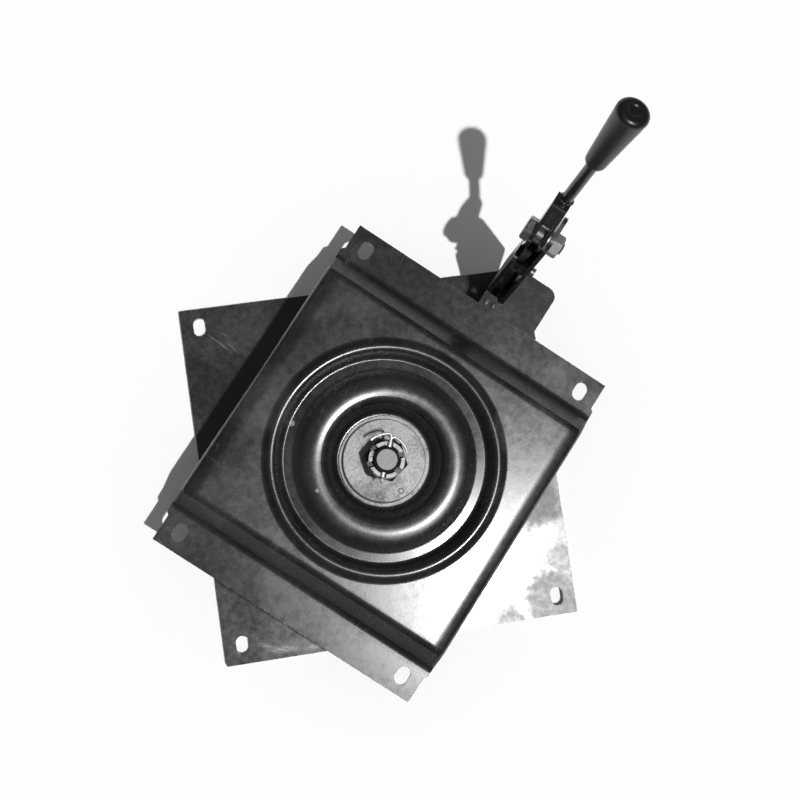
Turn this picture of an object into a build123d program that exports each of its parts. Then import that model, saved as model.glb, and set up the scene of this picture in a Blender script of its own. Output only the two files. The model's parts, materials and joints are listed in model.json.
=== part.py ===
"""Swivel seat base: floor plate, pressed upper plate on a ball race, and a lever that frees the turn lock.

Millimetres, +Z up. The origin is on the swivel axis at the underside of the floor plate, and +X runs
along the floor slots. The upper plate stands turned against the floor plate, as it is left by hand.
"""

import os
from math import asin, atan2, cos, degrees, radians, sin, sqrt, tan

from build123d import *

os.makedirs("parts", exist_ok=True)

# Floor plate
plate_side = 290
plate_thick = 6
plate_corner = 1.5
floor_slot_pitch = 260
slot_length = 15
slot_width = 10.5

# Upper plate: one pressed sheet
sheet = 3
rest_angle = -41
seat_length = 295
seat_width = 235
seat_slot_inset = 15
flange_rise = 45
panel_rise = 59
panel_length = 210
panel_width = 240
joggle_run = 9
joggle_bend = 9
flange_shoulder = 5.5
lip_depth = 17
lip_bend = 10

# Pressed dish in the panel: radii and depths of the upper face, below the panel
dish_radius = 94.5
ledge_outer = 88.5
ledge_inner = 85
ledge_drop = 5
valley_outer = 79
valley_inner = 71.5
valley_drop = 11
crest_outer = 63
crest_inner = 46.5
crest_lift = 1
crest_fall = 1.4
bowl_radius = 38
bowl_drop = 14
rim_bend = 8
sharp_bend = 4.2
soft_bend = 1.5
foot_bend = 4
shoulder_bend = 9
crest_bend = 13

# Ball race
ball_dia = 12.7
ball_count = 16
ball_gap = 0.15
groove_gap = 0.2
groove_half = 5.2
lip_width = 2
race_sheet = 4
race_slope = 9
race_wall_radius = 88
race_foot_radius = 104
cage_thick = 2.5
cage_half = 7.2
pocket_gap = 0.25

# King bolt, washers, castle nut and split pin
bolt_dia = 20
bolt_head_across = 30
bolt_head_height = 12.5
running_gap = 0.06
face_gap = 0.2
bush_wall = 3
bush_flange_radius = 33
bush_flange_thick = 4
wear_washer_radius = 35.3
wear_washer_thick = 2
nut_washer_radius = 32.6
nut_washer_thick = 3
washer_chamfer = 0.6
nut_across = 30
nut_hex_height = 16
crown_dia = 28
crown_height = 6
crown_slot = 4.6
crown_chamfer = 1.2
bolt_stand_out = 3
bolt_end_chamfer = 2.1
pin_dia = 3.6
pin_leg_dia = 2.2
pin_angle = -21
pin_bend = 2.6
pin_bend_turn = 105
long_leg_knee = 17.5
long_leg_curl = 22
long_leg_sweep = 38
short_leg_knee = 15.6
short_leg_curl = 17
short_leg_sweep = 50
hex_chamfer = 1.2
hex_sides = 6
half_turn = 180

# Lock ring on the lower race
lock_ring_radius = 112
lock_ring_thick = 6
lock_ring_rise = 20
notch_count = 12
notch_depth = 9
notch_side_gap = 0.75
weld_gap = 0.08

# Lever bracket: folded channel with a side tab
tab_reach = 43
tab_under = 30
tab_side = 36.5
tab_corner = 8
channel_left = -4.5
wall_foot_setback = 33.5
left_foot_setback = 30
left_wall_height = 65
left_wall_run = 16
wall_corner = 4
wall_head_radius = 11
wall_brow_radius = 7
wall_brow_out = 13.3
wall_brow_rise = 5
wall_knee_radius = 10
wall_knee_out = 7
wall_knee_rise = 19
pivot_overhang = 2.2
pivot_rise = 101
bead_radius = 2.4

# Fork, cam pin, rod and grip
fork_gap = 6.5
fork_lobe_radius = 11
spacer_thick = 1.5
pivot_dia = 10
pivot_head_across = 17
pivot_head_height = 6.4
pivot_nut_across = 16
pivot_nut_height = 7
pivot_end = 1.6
sleeve_dia = 14
cam_arm = 22
cam_pin_dia = 8
cam_lobe_radius = 7
cam_gap = 0.2
rod_lean = 22
rod_out = 28
rod_rise = 17
rod_dia = 9
rod_set_over = 1
seat_in_reach = 10
seat_out_reach = 2.5
fork_web = 17
fork_bend = 4.5
rod_length = 46
grip_length = 63
grip_small_dia = 15.5
grip_large_dia = 25
grip_round = 5
grip_cap_round = 4.2
grip_dimple_radius = 5
grip_dimple_depth = 1
grip_bore_depth = 38

# Lock pawl, its pin and its spring
pawl_side_gap = 0.5
pawl_pin_dia = 8
pawl_pin_setback = 11
pawl_pin_drop = 58
pawl_pin_stand_out = 5
pawl_boss_radius = 9
pawl_arm_width = 9
pawl_arm_top = 43
pawl_neck_radius = 6
pawl_elbow_setback = 26
toe_height = 9
toe_gap = 0.4
spacer_dia = 13
spring_wire = 1.2
spring_dia = 8
spring_turns = 4
spring_setback = 7


def bend_reach(radius, turn):
    """Length that a rounded bend of a given turn takes from each side."""
    return radius * tan(turn / 2)


# Heights
plate_top = plate_thick
flange_top = plate_top + flange_rise
flange_under = flange_top - sheet
panel_top = plate_top + panel_rise
bowl_top = panel_top - bowl_drop
bowl_under = bowl_top - sheet
rim_turn = atan2(ledge_drop, dish_radius - ledge_outer)
rim_radius = dish_radius + bend_reach(rim_bend, rim_turn)
crest_tilt = atan2(crest_fall, crest_outer - crest_inner)
outer_turn = atan2(valley_drop + crest_lift - crest_fall, valley_inner - crest_outer) - crest_tilt
inner_turn = atan2(bowl_drop + crest_lift, crest_inner - bowl_radius) + crest_tilt
crest_flat_out = crest_outer - bend_reach(shoulder_bend, outer_turn)
crest_flat_in = crest_inner + bend_reach(crest_bend, inner_turn)
ball_circle = (crest_flat_out + crest_flat_in) / 2
ball_radius = ball_dia / 2
crest_top = panel_top + crest_lift - (ball_circle - crest_inner) * tan(crest_tilt)
ball_level = crest_top - (sheet + ball_gap + ball_radius) / cos(crest_tilt)
race_center_top = bowl_under - bush_flange_thick - face_gap
race_center_under = race_center_top - race_sheet
bolt_radius = bolt_dia / 2
bush_bore = bolt_radius + running_gap
bush_radius = bush_bore + bush_wall
nut_foot = bowl_top + face_gap + wear_washer_thick + nut_washer_thick
nut_top = nut_foot + nut_hex_height + crown_height
bolt_end = nut_top + bolt_stand_out
pin_level = nut_top - crown_height / 2

# Directions of the turned upper plate: "out" runs to the lever, "right" is on the right hand there
out = Vector(cos(radians(rest_angle)), sin(radians(rest_angle)), 0)
left = Vector(-sin(radians(rest_angle)), cos(radians(rest_angle)), 0)
right = -left

# Places along "out" (first) and up (second) in the lever's upright plane
seat_edge = seat_length / 2
tab_end = seat_edge + tab_reach
tab_top = flange_under
foot_in = tab_end - wall_foot_setback
pivot_at = (tab_end + pivot_overhang, tab_top + pivot_rise)
brow_at = (pivot_at[0] + wall_brow_out, pivot_at[1] + wall_brow_rise)
cam_at = (pivot_at[0], pivot_at[1] - cam_arm)
pawl_pin_at = (pivot_at[0] - pawl_pin_setback, pivot_at[1] - pawl_pin_drop)
rod_foot = (pivot_at[0] + rod_out, pivot_at[1] + rod_rise)
rod_dir = (sin(radians(rod_lean)), cos(radians(rod_lean)))
lock_level = plate_top + lock_ring_rise + lock_ring_thick / 2

# Places across the lever, along "right"
fork_left = channel_left + sheet
fork_right = fork_left + fork_gap
wall_right = fork_right + sheet + spacer_thick
pawl_left = fork_left + pawl_side_gap
pawl_thick = fork_gap - 2 * pawl_side_gap
pawl_slot_right = pawl_left + pawl_thick + 2 * pawl_side_gap
fork_mid = (fork_left + fork_right) / 2


def level(height):
    """Flat plane at a height, with its first axis along "out"."""
    return Plane(origin=(0, 0, height), x_dir=out, z_dir=(0, 0, 1))


def upright(across):
    """Upright plane of the lever at a distance along "right"; its axes are out and up."""
    return Plane(origin=right * across, x_dir=out, z_dir=right)


def spot(place, across):
    """Point in space of a place in the lever's upright plane."""
    return out * place[0] + right * across + Vector(0, 0, place[1])


def cross_plane(place, across):
    """Plane round a cross axis of the lever, looking along "right"."""
    return Plane(origin=spot(place, across), x_dir=out, z_dir=right)


def ring(plane, outer, inner, height):
    """Adds a plain ring that stands on a plane."""
    with BuildSketch(plane) as face:
        Circle(outer)
        Circle(inner, mode=Mode.SUBTRACT)
    extrude(face.sketch, amount=height)


def round_bar(plane, radius, height):
    """Adds a round bar that stands on a plane."""
    with BuildSketch(plane) as face:
        Circle(radius)
    extrude(face.sketch, amount=height)


def hexagon(plane, across, height, turn=0):
    """Adds a hexagon bar with its far corners turned off, standing on a plane."""
    corner = across / sqrt(3)
    with BuildSketch(plane) as face:
        RegularPolygon(across / 2, hex_sides, major_radius=False, rotation=turn)
    extrude(face.sketch, amount=height)
    upright_cut = Plane(origin=plane.origin, x_dir=plane.x_dir, z_dir=-plane.y_dir)
    with BuildSketch(upright_cut) as cut:
        with BuildLine():
            Polyline(
                (across / 2, height),
                (corner + hex_chamfer, height),
                (corner + hex_chamfer, height - hex_chamfer),
                (corner, height - hex_chamfer),
                close=True,
            )
        make_face()
    revolve(cut.sketch, axis=Axis(plane.origin, plane.z_dir), mode=Mode.SUBTRACT)


def save(part, name):
    """Names a finished piece and writes it."""
    part.label = name
    export_step(part, f"parts/{name}.step")


# Floor plate
with BuildPart() as base_plate:
    with BuildSketch():
        RectangleRounded(plate_side, plate_side, plate_corner)
        with GridLocations(floor_slot_pitch, floor_slot_pitch, 2, 2):
            SlotOverall(slot_length, slot_width, mode=Mode.SUBTRACT)
    extrude(amount=plate_thick)
save(base_plate.part, "base_plate")

# Upper plate: the panel's side lips and its joggled ends are two bent skins that trim each other
across_plane = Plane(origin=(0, 0, 0), x_dir=left, z_dir=out)
lip_under = panel_top - lip_depth
joggle_foot = panel_length / 2 + joggle_run
shoulder_end = joggle_foot + flange_shoulder
with BuildLine() as lip_line:
    FilletPolyline(
        (panel_width / 2, lip_under),
        (panel_width / 2, panel_top),
        (-panel_width / 2, panel_top),
        (-panel_width / 2, lip_under),
        radius=lip_bend,
    )
with BuildLine() as joggle_line:
    FilletPolyline(
        (-shoulder_end, flange_top),
        (-joggle_foot, flange_top),
        (-panel_length / 2, panel_top),
        (panel_length / 2, panel_top),
        (joggle_foot, flange_top),
        (shoulder_end, flange_top),
        radius=joggle_bend,
    )
dish_bends = [rim_bend, soft_bend, sharp_bend, soft_bend, foot_bend, shoulder_bend, crest_bend, foot_bend]
with BuildPart() as joggled_ends:
    with BuildSketch(upright(0)):
        with BuildLine():
            add(joggle_line.line)
            offset(amount=sheet, side=Side.RIGHT)
        make_face()
    extrude(amount=panel_width / 2, both=True)
    with BuildSketch(across_plane):
        with BuildLine():
            add(lip_line.line)
            Line((-panel_width / 2, lip_under), (panel_width / 2, lip_under))
        make_face()
    extrude(amount=shoulder_end, both=True, mode=Mode.INTERSECT)
with BuildPart() as top_plate:
    with BuildSketch(across_plane):
        with BuildLine():
            add(lip_line.line)
            offset(amount=sheet, side=Side.LEFT)
        make_face()
    extrude(amount=shoulder_end, both=True)
    with BuildSketch(upright(0)):
        with BuildLine():
            add(joggle_line.line)
            Polyline(
                (shoulder_end, flange_top),
                (shoulder_end, lip_under),
                (-shoulder_end, lip_under),
                (-shoulder_end, flange_top),
            )
        make_face()
    extrude(amount=panel_width / 2, both=True, mode=Mode.INTERSECT)
    add(joggled_ends.part)
    with BuildSketch(level(flange_under)):
        with GridLocations(joggle_foot + seat_edge, 0, 2, 1):
            Rectangle(seat_edge - joggle_foot, seat_width)
    extrude(amount=sheet)
    round_cut = level(bowl_under)
    with BuildSketch(round_cut):
        Circle(rim_radius)
    extrude(amount=bowl_drop + 2 * sheet, mode=Mode.SUBTRACT)
    with BuildSketch(Plane.XZ):
        with BuildLine():
            FilletPolyline(
                (rim_radius + soft_bend, panel_top),
                (dish_radius, panel_top),
                (ledge_outer, panel_top - ledge_drop),
                (ledge_inner, panel_top - ledge_drop),
                (valley_outer, panel_top - valley_drop),
                (valley_inner, panel_top - valley_drop),
                (crest_outer, panel_top + crest_lift - crest_fall),
                (crest_inner, panel_top + crest_lift),
                (bowl_radius, bowl_top),
                (bush_radius, bowl_top),
                radius=dish_bends,
            )
            offset(amount=sheet, side=Side.LEFT)
        make_face()
    revolve(axis=Axis.Z)
    with BuildSketch(level(flange_top)):
        with GridLocations(seat_length - 2 * seat_slot_inset, seat_width - 2 * seat_slot_inset, 2, 2):
            SlotOverall(slot_length, slot_width)
    extrude(amount=-sheet, mode=Mode.SUBTRACT)
save(top_plate.part, "top_plate")

# Lower race: a pressed hat with the ball groove in its crown
groove_radius = ball_radius + groove_gap
lip_level = ball_level - sqrt(groove_radius**2 - groove_half**2)
groove_floor = ball_level - groove_radius
crown_in = ball_circle - groove_half - lip_width
crown_out = ball_circle + groove_half + lip_width
with BuildPart() as lower_race:
    with BuildSketch(Plane.XZ):
        with BuildLine():
            Polyline(
                (bush_bore, race_center_under),
                (bush_bore, race_center_top),
                (crown_in - race_slope, race_center_top),
                (crown_in, lip_level),
                (ball_circle - groove_half, lip_level),
            )
            ThreePointArc(
                (ball_circle - groove_half, lip_level),
                (ball_circle, groove_floor),
                (ball_circle + groove_half, lip_level),
            )
            Polyline(
                (ball_circle + groove_half, lip_level),
                (crown_out, lip_level),
                (crown_out + race_slope, race_center_top),
                (race_wall_radius, race_center_top),
                (race_wall_radius, plate_top + race_sheet),
                (race_foot_radius, plate_top + race_sheet),
                (race_foot_radius, plate_top),
                (race_wall_radius - race_sheet, plate_top),
                (race_wall_radius - race_sheet, race_center_under),
                (crown_out + race_slope - race_sheet / 2, race_center_under),
                (crown_out - race_sheet / 2, groove_floor - race_sheet),
                (crown_in + race_sheet / 2, groove_floor - race_sheet),
                (crown_in - race_slope + race_sheet / 2, race_center_under),
                (bush_bore, race_center_under),
            )
        make_face()
    revolve(axis=Axis.Z)
    top_corner = lower_race.edges().filter_by(GeomType.CIRCLE)
    top_corner = top_corner.filter_by(lambda rim: abs(rim.radius - race_wall_radius) < weld_gap)
    fillet(top_corner.sort_by(Axis.Z)[-1:], radius=race_sheet)
save(lower_race.part, "lower_race")

# Balls and their cage
with BuildPart() as bearing_balls:
    with Locations(Plane.XY.offset(ball_level)):
        with PolarLocations(ball_circle, ball_count):
            Sphere(ball_radius)
save(bearing_balls.part, "bearing_balls")

with BuildPart() as ball_cage:
    ring(level(ball_level - cage_thick / 2), ball_circle + cage_half, ball_circle - cage_half, cage_thick)
    with BuildSketch(Plane.XY.offset(ball_level - cage_thick / 2)):
        with PolarLocations(ball_circle, ball_count):
            Circle(ball_radius + pocket_gap)
    extrude(amount=cage_thick, mode=Mode.SUBTRACT)
save(ball_cage.part, "ball_cage")

# Flanged bush that turns on the king bolt
with BuildPart() as centre_bush:
    ring(level(bowl_under - bush_flange_thick), bush_flange_radius, bush_bore, bush_flange_thick)
    ring(level(bowl_under), bush_radius - running_gap, bush_bore, sheet)
save(centre_bush.part, "centre_bush")

# Washers under the nut
with BuildPart() as wear_washer:
    ring(level(bowl_top + face_gap), wear_washer_radius, bush_bore, wear_washer_thick)
save(wear_washer.part, "wear_washer")

washer_foot = bowl_top + face_gap + wear_washer_thick
with BuildPart() as nut_washer:
    ring(level(washer_foot), nut_washer_radius, bush_bore, nut_washer_thick)
    chamfer(nut_washer.edges().group_by(Axis.Z)[-1].sort_by(SortBy.RADIUS)[-1:], length=washer_chamfer)
save(nut_washer.part, "nut_washer")

# King bolt, with its head under the race and a cross hole for the pin
pin_plane = Plane(
    origin=(0, 0, pin_level),
    x_dir=(0, 0, 1),
    z_dir=(cos(radians(pin_angle)), sin(radians(pin_angle)), 0),
)
head_foot = race_center_under - bolt_head_height
with BuildPart() as king_bolt:
    hexagon(Plane.XY.offset(head_foot), bolt_head_across, bolt_head_height)
    round_bar(Plane.XY.offset(race_center_under), bolt_radius, bolt_end - race_center_under)
    chamfer(king_bolt.edges().group_by(Axis.Z)[-1], length=bolt_end_chamfer)
    with BuildSketch(pin_plane):
        Circle(pin_dia / 2 + running_gap)
    extrude(amount=bolt_dia, both=True, mode=Mode.SUBTRACT)
save(king_bolt.part, "king_bolt")

# Castle nut: hexagon, round crown and slots in line with the flats
nut_plane = Plane(origin=(0, 0, nut_foot), x_dir=pin_plane.z_dir, z_dir=(0, 0, 1))
with BuildPart() as castle_nut:
    hexagon(nut_plane, nut_across, nut_hex_height, turn=half_turn / hex_sides)
    round_bar(nut_plane.offset(nut_hex_height), crown_dia / 2, crown_height)
    with BuildSketch(nut_plane):
        Circle(bush_bore)
    extrude(amount=nut_hex_height + crown_height, mode=Mode.SUBTRACT)
    chamfer(castle_nut.edges().group_by(Axis.Z)[-1].sort_by(SortBy.RADIUS)[:1], length=crown_chamfer)
    with BuildSketch(nut_plane.offset(nut_hex_height)):
        with PolarLocations(0, hex_sides // 2, angular_range=half_turn):
            Rectangle(nut_across, crown_slot)
    extrude(amount=crown_height, mode=Mode.SUBTRACT)
save(castle_nut.part, "castle_nut")

# Split pin: a straight shank, an upright eye on one side and two legs bent round the crown
eye_radius = pin_dia / 2
eye_middle = crown_dia / 2 + eye_radius
leg_turn = Plane(origin=(0, 0, pin_level), x_dir=pin_plane.z_dir, z_dir=(0, 0, 1))
with BuildPart() as split_pin:
    with BuildSketch(pin_plane.offset(-crown_dia / 2)):
        Circle(pin_dia / 2)
    extrude(amount=crown_dia)
    with Locations(Plane(
        origin=leg_turn.from_local_coords((-eye_middle, 0, 0)),
        x_dir=leg_turn.x_dir,
        z_dir=leg_turn.y_dir,
    )):
        Torus(eye_radius, pin_leg_dia / 2)
    for side, knee, curl, sweep_turn in (
        (1, long_leg_knee, long_leg_curl, long_leg_sweep),
        (-1, short_leg_knee, short_leg_curl, short_leg_sweep),
    ):
        with BuildLine(leg_turn) as leg:
            straight = Line((crown_dia / 2 - pin_leg_dia, 0), (knee, 0))
            bend = JernArc(straight @ 1, straight % 1, pin_bend, side * pin_bend_turn)
            JernArc(bend @ 1, bend % 1, curl, side * sweep_turn)
        with BuildSketch(Plane(origin=leg.line @ 0, z_dir=leg.line % 0)):
            Circle(pin_leg_dia / 2)
        sweep(path=leg.line)
save(split_pin.part, "split_pin")

# Notched lock ring round the lower race
with BuildPart() as lock_ring:
    ring(level(plate_top + lock_ring_rise), lock_ring_radius, race_wall_radius + weld_gap, lock_ring_thick)
    with BuildSketch(Plane.XY.offset(plate_top + lock_ring_rise)):
        with PolarLocations(lock_ring_radius, notch_count):
            Rectangle(2 * notch_depth, pawl_thick + 2 * notch_side_gap)
    extrude(amount=lock_ring_thick, mode=Mode.SUBTRACT)
save(lock_ring.part, "lock_ring")

# Lever bracket: tab under the flange, right wall up to the pivot, shorter left wall and the outer web
wall_lean = (brow_at[0] + wall_brow_radius - tab_end) / (brow_at[1] - tab_top)
web_run = sheet * sqrt(1 + wall_lean**2)
left_top = tab_top + left_wall_height
left_top_out = tab_end + wall_lean * left_wall_height
left_foot_in = tab_end - left_foot_setback
with BuildPart() as lever_bracket:
    with BuildSketch(level(tab_top - sheet)):
        with BuildLine():
            FilletPolyline(
                (seat_edge - tab_under, -channel_left),
                (tab_end, -channel_left),
                (tab_end, -wall_right - tab_side),
                (seat_edge - tab_under, -wall_right - tab_side),
                radius=[wall_corner, tab_corner, tab_corner, wall_corner],
                close=True,
            )
        make_face()
        with BuildLine():
            Polyline(
                (foot_in + sheet, -fork_left),
                (tab_end - web_run, -fork_left),
                (tab_end - web_run, -pawl_slot_right),
                (foot_in + sheet, -pawl_slot_right),
                close=True,
            )
        make_face(mode=Mode.SUBTRACT)
    extrude(amount=sheet)
    with BuildSketch(upright(wall_right)):
        with Locations(pivot_at):
            Circle(wall_head_radius)
        with Locations(brow_at):
            Circle(wall_brow_radius)
        with Locations((tab_end + wall_knee_out, tab_top + wall_knee_rise)):
            Circle(wall_knee_radius)
        with Locations(((foot_in + tab_end) / 2, tab_top + sheet / 2)):
            Rectangle(tab_end - foot_in, sheet)
        make_hull()
    extrude(amount=sheet)
    with BuildSketch(upright(channel_left)) as left_wall:
        with BuildLine():
            Polyline(
                (left_foot_in, tab_top),
                (tab_end, tab_top),
                (left_top_out, left_top),
                (left_foot_in + left_wall_run, left_top),
                close=True,
            )
        make_face()
        fillet(left_wall.vertices().group_by(Axis.Y)[-1], radius=wall_corner)
    extrude(amount=sheet)
    with BuildSketch(upright(fork_left)):
        with BuildLine():
            Polyline(
                (tab_end - web_run, tab_top - sheet),
                (tab_end, tab_top - sheet),
                (tab_end, tab_top),
                (left_top_out, left_top),
                (left_top_out - web_run, left_top),
                (tab_end - web_run, tab_top),
                close=True,
            )
        make_face()
    extrude(amount=wall_right - fork_left)
    with BuildSketch(cross_plane(pivot_at, wall_right)):
        Circle(pivot_dia / 2 + running_gap)
    extrude(amount=sheet, mode=Mode.SUBTRACT)
    with BuildSketch(cross_plane(pawl_pin_at, channel_left)):
        Circle(pawl_pin_dia / 2 + running_gap)
    extrude(amount=wall_right + sheet - channel_left, mode=Mode.SUBTRACT)
save(lever_bracket.part, "lever_bracket")

# Weld beads between the flange edge and the channel's foot
with BuildPart() as bracket_welds:
    for across in (fork_left + bead_radius, wall_right - bead_radius):
        with Locations(spot(((seat_edge + foot_in) / 2, tab_top), across)):
            Sphere(bead_radius, arc_size1=0, align=(Align.CENTER, Align.CENTER, Align.MIN))
save(bracket_welds.part, "bracket_welds")

# Pivot bolt, nut, sleeve and spacer
nut_face = wall_right + sheet
with BuildPart() as pivot_bolt:
    hexagon(
        Plane(origin=spot(pivot_at, channel_left), x_dir=out, z_dir=left),
        pivot_head_across,
        pivot_head_height,
    )
    round_bar(
        cross_plane(pivot_at, channel_left),
        pivot_dia / 2,
        nut_face + pivot_nut_height + pivot_end - channel_left,
    )
save(pivot_bolt.part, "pivot_bolt")

with BuildPart() as pivot_nut:
    hexagon(cross_plane(pivot_at, nut_face), pivot_nut_across, pivot_nut_height, turn=half_turn / hex_sides)
    with BuildSketch(cross_plane(pivot_at, nut_face)):
        Circle(pivot_dia / 2 + running_gap)
    extrude(amount=pivot_nut_height, mode=Mode.SUBTRACT)
save(pivot_nut.part, "pivot_nut")

with BuildPart() as pivot_sleeve:
    ring(
        cross_plane(pivot_at, fork_left + running_gap),
        sleeve_dia / 2,
        pivot_dia / 2 + running_gap,
        fork_gap - 2 * running_gap,
    )
save(pivot_sleeve.part, "pivot_sleeve")

with BuildPart() as pivot_spacer:
    ring(
        cross_plane(pivot_at, fork_right + sheet + running_gap),
        pivot_head_across / 2,
        pivot_dia / 2 + running_gap,
        spacer_thick - running_gap,
    )
save(pivot_spacer.part, "pivot_spacer")

# Fork: two cheeks, and between them a bent strip, the seat of the rod and a web towards the pivot
seat_dir = Vector(rod_dir[1], -rod_dir[0])
seat_in = Vector(*rod_foot) - seat_dir * seat_in_reach
seat_out = Vector(*rod_foot) + seat_dir * seat_out_reach
to_pivot = Vector(*pivot_at) - seat_in
web_turn = degrees(asin(fork_lobe_radius / to_pivot.length))
web_end = seat_in + to_pivot.normalized().rotate(Axis.Z, -web_turn) * fork_web
with BuildLine() as fork_strip:
    FilletPolyline(web_end, seat_in, seat_out, radius=fork_bend)
    offset(amount=sheet, side=Side.RIGHT)
with BuildPart() as lever_fork:
    for face in (channel_left, fork_right):
        with BuildSketch(upright(face)):
            with Locations(pivot_at):
                Circle(fork_lobe_radius)
            make_face(fork_strip.edges())
            make_hull()
        extrude(amount=sheet)
        with BuildSketch(upright(face)):
            with Locations(pivot_at):
                Circle(fork_lobe_radius)
            with Locations(cam_at):
                Circle(cam_lobe_radius)
            make_hull()
        extrude(amount=sheet)
    with BuildSketch(upright(fork_left)):
        make_face(fork_strip.edges())
    extrude(amount=fork_gap)
    for place, hole in ((pivot_at, pivot_dia / 2 + running_gap), (cam_at, cam_pin_dia / 2 + running_gap)):
        with BuildSketch(cross_plane(place, channel_left)):
            Circle(hole)
        extrude(amount=fork_right + sheet - channel_left, mode=Mode.SUBTRACT)
save(lever_fork.part, "lever_fork")

with BuildPart() as cam_pin:
    round_bar(cross_plane(cam_at, channel_left), cam_pin_dia / 2, fork_right + sheet - channel_left)
save(cam_pin.part, "cam_pin")

# Rod and grip on the leaning axis
rod_axis = out * rod_dir[0] + Vector(0, 0, rod_dir[1])
rod_plane = Plane(origin=spot(rod_foot, fork_mid + rod_set_over), x_dir=right, z_dir=rod_axis)
with BuildPart() as lever_rod:
    round_bar(rod_plane, rod_dia / 2, rod_length + grip_bore_depth)
save(lever_rod.part, "lever_rod")

grip_plane = rod_plane.offset(rod_length)
grip_section = Plane(origin=grip_plane.origin, x_dir=right, z_dir=-grip_plane.y_dir)
with BuildPart() as lever_grip:
    with BuildSketch(grip_section):
        with BuildLine():
            FilletPolyline(
                (0, 0),
                (grip_small_dia / 2, 0),
                (grip_large_dia / 2, grip_length),
                (grip_dimple_radius, grip_length),
                (grip_dimple_radius - grip_dimple_depth, grip_length - grip_dimple_depth),
                (0, grip_length - grip_dimple_depth),
                radius=[grip_round, grip_cap_round, grip_dimple_depth / 2, grip_dimple_depth / 2],
            )
            Line((0, grip_length - grip_dimple_depth), (0, 0))
        make_face()
    revolve(axis=Axis(grip_plane.origin, rod_axis))
    with BuildSketch(grip_plane):
        Circle(rod_dia / 2 + running_gap)
    extrude(amount=grip_bore_depth + running_gap, mode=Mode.SUBTRACT)
save(lever_grip.part, "lever_grip")

# Lock pawl: an upper arm that the cam pin pushes, and a lower arm with a toe that reaches the lock ring
arm_face = cam_at[0] - cam_pin_dia / 2 - cam_gap
elbow = (pivot_at[0] - pawl_elbow_setback, lock_level)
toe_tip = lock_ring_radius + toe_gap
with BuildPart() as lock_pawl:
    with BuildSketch(upright(pawl_left)):
        with Locations(pawl_pin_at):
            Circle(pawl_boss_radius)
        with Locations(elbow):
            Circle(pawl_neck_radius)
        make_hull()
        with Locations((arm_face - pawl_arm_width / 2, pawl_pin_at[1] + pawl_arm_top / 2)):
            Rectangle(pawl_arm_width, pawl_arm_top)
        with Locations(((toe_tip + elbow[0]) / 2, elbow[1])):
            Rectangle(elbow[0] - toe_tip, toe_height)
        with Locations(pawl_pin_at):
            Circle(pawl_pin_dia / 2 + running_gap, mode=Mode.SUBTRACT)
    extrude(amount=pawl_thick)
save(lock_pawl.part, "lock_pawl")

with BuildPart() as pawl_pin:
    round_bar(
        cross_plane(pawl_pin_at, channel_left),
        pawl_pin_dia / 2,
        nut_face + pawl_pin_stand_out - channel_left,
    )
save(pawl_pin.part, "pawl_pin")

with BuildPart() as pawl_spacers:
    spacer_bore = pawl_pin_dia / 2 + running_gap
    ring(cross_plane(pawl_pin_at, fork_left), spacer_dia / 2, spacer_bore, pawl_side_gap - running_gap)
    pawl_right = pawl_left + pawl_thick + running_gap
    ring(cross_plane(pawl_pin_at, pawl_right), spacer_dia / 2, spacer_bore, wall_right - pawl_right)
save(pawl_spacers.part, "pawl_spacers")

# Return spring between the toe and the tab: it pulls the toe up and in
spring_foot = lock_level + toe_height / 2
spring_radius = (spring_dia - spring_wire) / 2
spring_height = tab_top - sheet - spring_foot - spring_wire - face_gap
spring_at = out * (seat_edge - spring_setback) + right * fork_mid
with BuildPart() as pawl_spring:
    with BuildLine(Plane(origin=spring_at + Vector(0, 0, spring_foot + (spring_wire + face_gap) / 2))) as coil:
        Helix(pitch=spring_height / spring_turns, height=spring_height, radius=spring_radius)
    with BuildSketch(Plane(origin=coil.line @ 0, z_dir=coil.line % 0)):
        Circle(spring_wire / 2)
    sweep(path=coil.line, is_frenet=True)
save(pawl_spring.part, "pawl_spring")
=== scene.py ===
import json
import random
from math import cos, pi, radians, sin, sqrt, tan

import bmesh
import bpy
from bpy.props import FloatProperty, FloatVectorProperty, PointerProperty
from mathutils import Matrix, Vector, noise


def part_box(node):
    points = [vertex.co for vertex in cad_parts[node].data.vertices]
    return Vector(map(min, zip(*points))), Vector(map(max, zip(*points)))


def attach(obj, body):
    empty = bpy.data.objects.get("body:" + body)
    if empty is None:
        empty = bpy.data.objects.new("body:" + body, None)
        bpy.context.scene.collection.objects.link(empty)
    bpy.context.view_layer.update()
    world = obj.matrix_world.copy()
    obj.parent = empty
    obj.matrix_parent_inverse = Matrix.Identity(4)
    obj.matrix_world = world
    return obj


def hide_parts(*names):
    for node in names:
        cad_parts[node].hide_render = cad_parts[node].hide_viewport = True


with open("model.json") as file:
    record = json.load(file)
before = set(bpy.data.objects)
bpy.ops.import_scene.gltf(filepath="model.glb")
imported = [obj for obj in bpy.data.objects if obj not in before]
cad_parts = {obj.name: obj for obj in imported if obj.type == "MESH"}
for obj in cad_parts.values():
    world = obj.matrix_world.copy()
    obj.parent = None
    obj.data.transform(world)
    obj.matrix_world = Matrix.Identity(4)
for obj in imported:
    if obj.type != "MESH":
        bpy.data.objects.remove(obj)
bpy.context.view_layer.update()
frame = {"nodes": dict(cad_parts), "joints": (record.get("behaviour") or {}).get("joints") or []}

bl_info = {
    "name": "Swivel Seat Base",
    "version": (1, 0, 0),
    "blender": (4, 5, 0),
    "location": "View3D > Sidebar > Seat Base",
    "description": "Dresses the swivel seat base with worn steel finishes, threads and welds, on a lit floor",
    "category": "Object",
}

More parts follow.
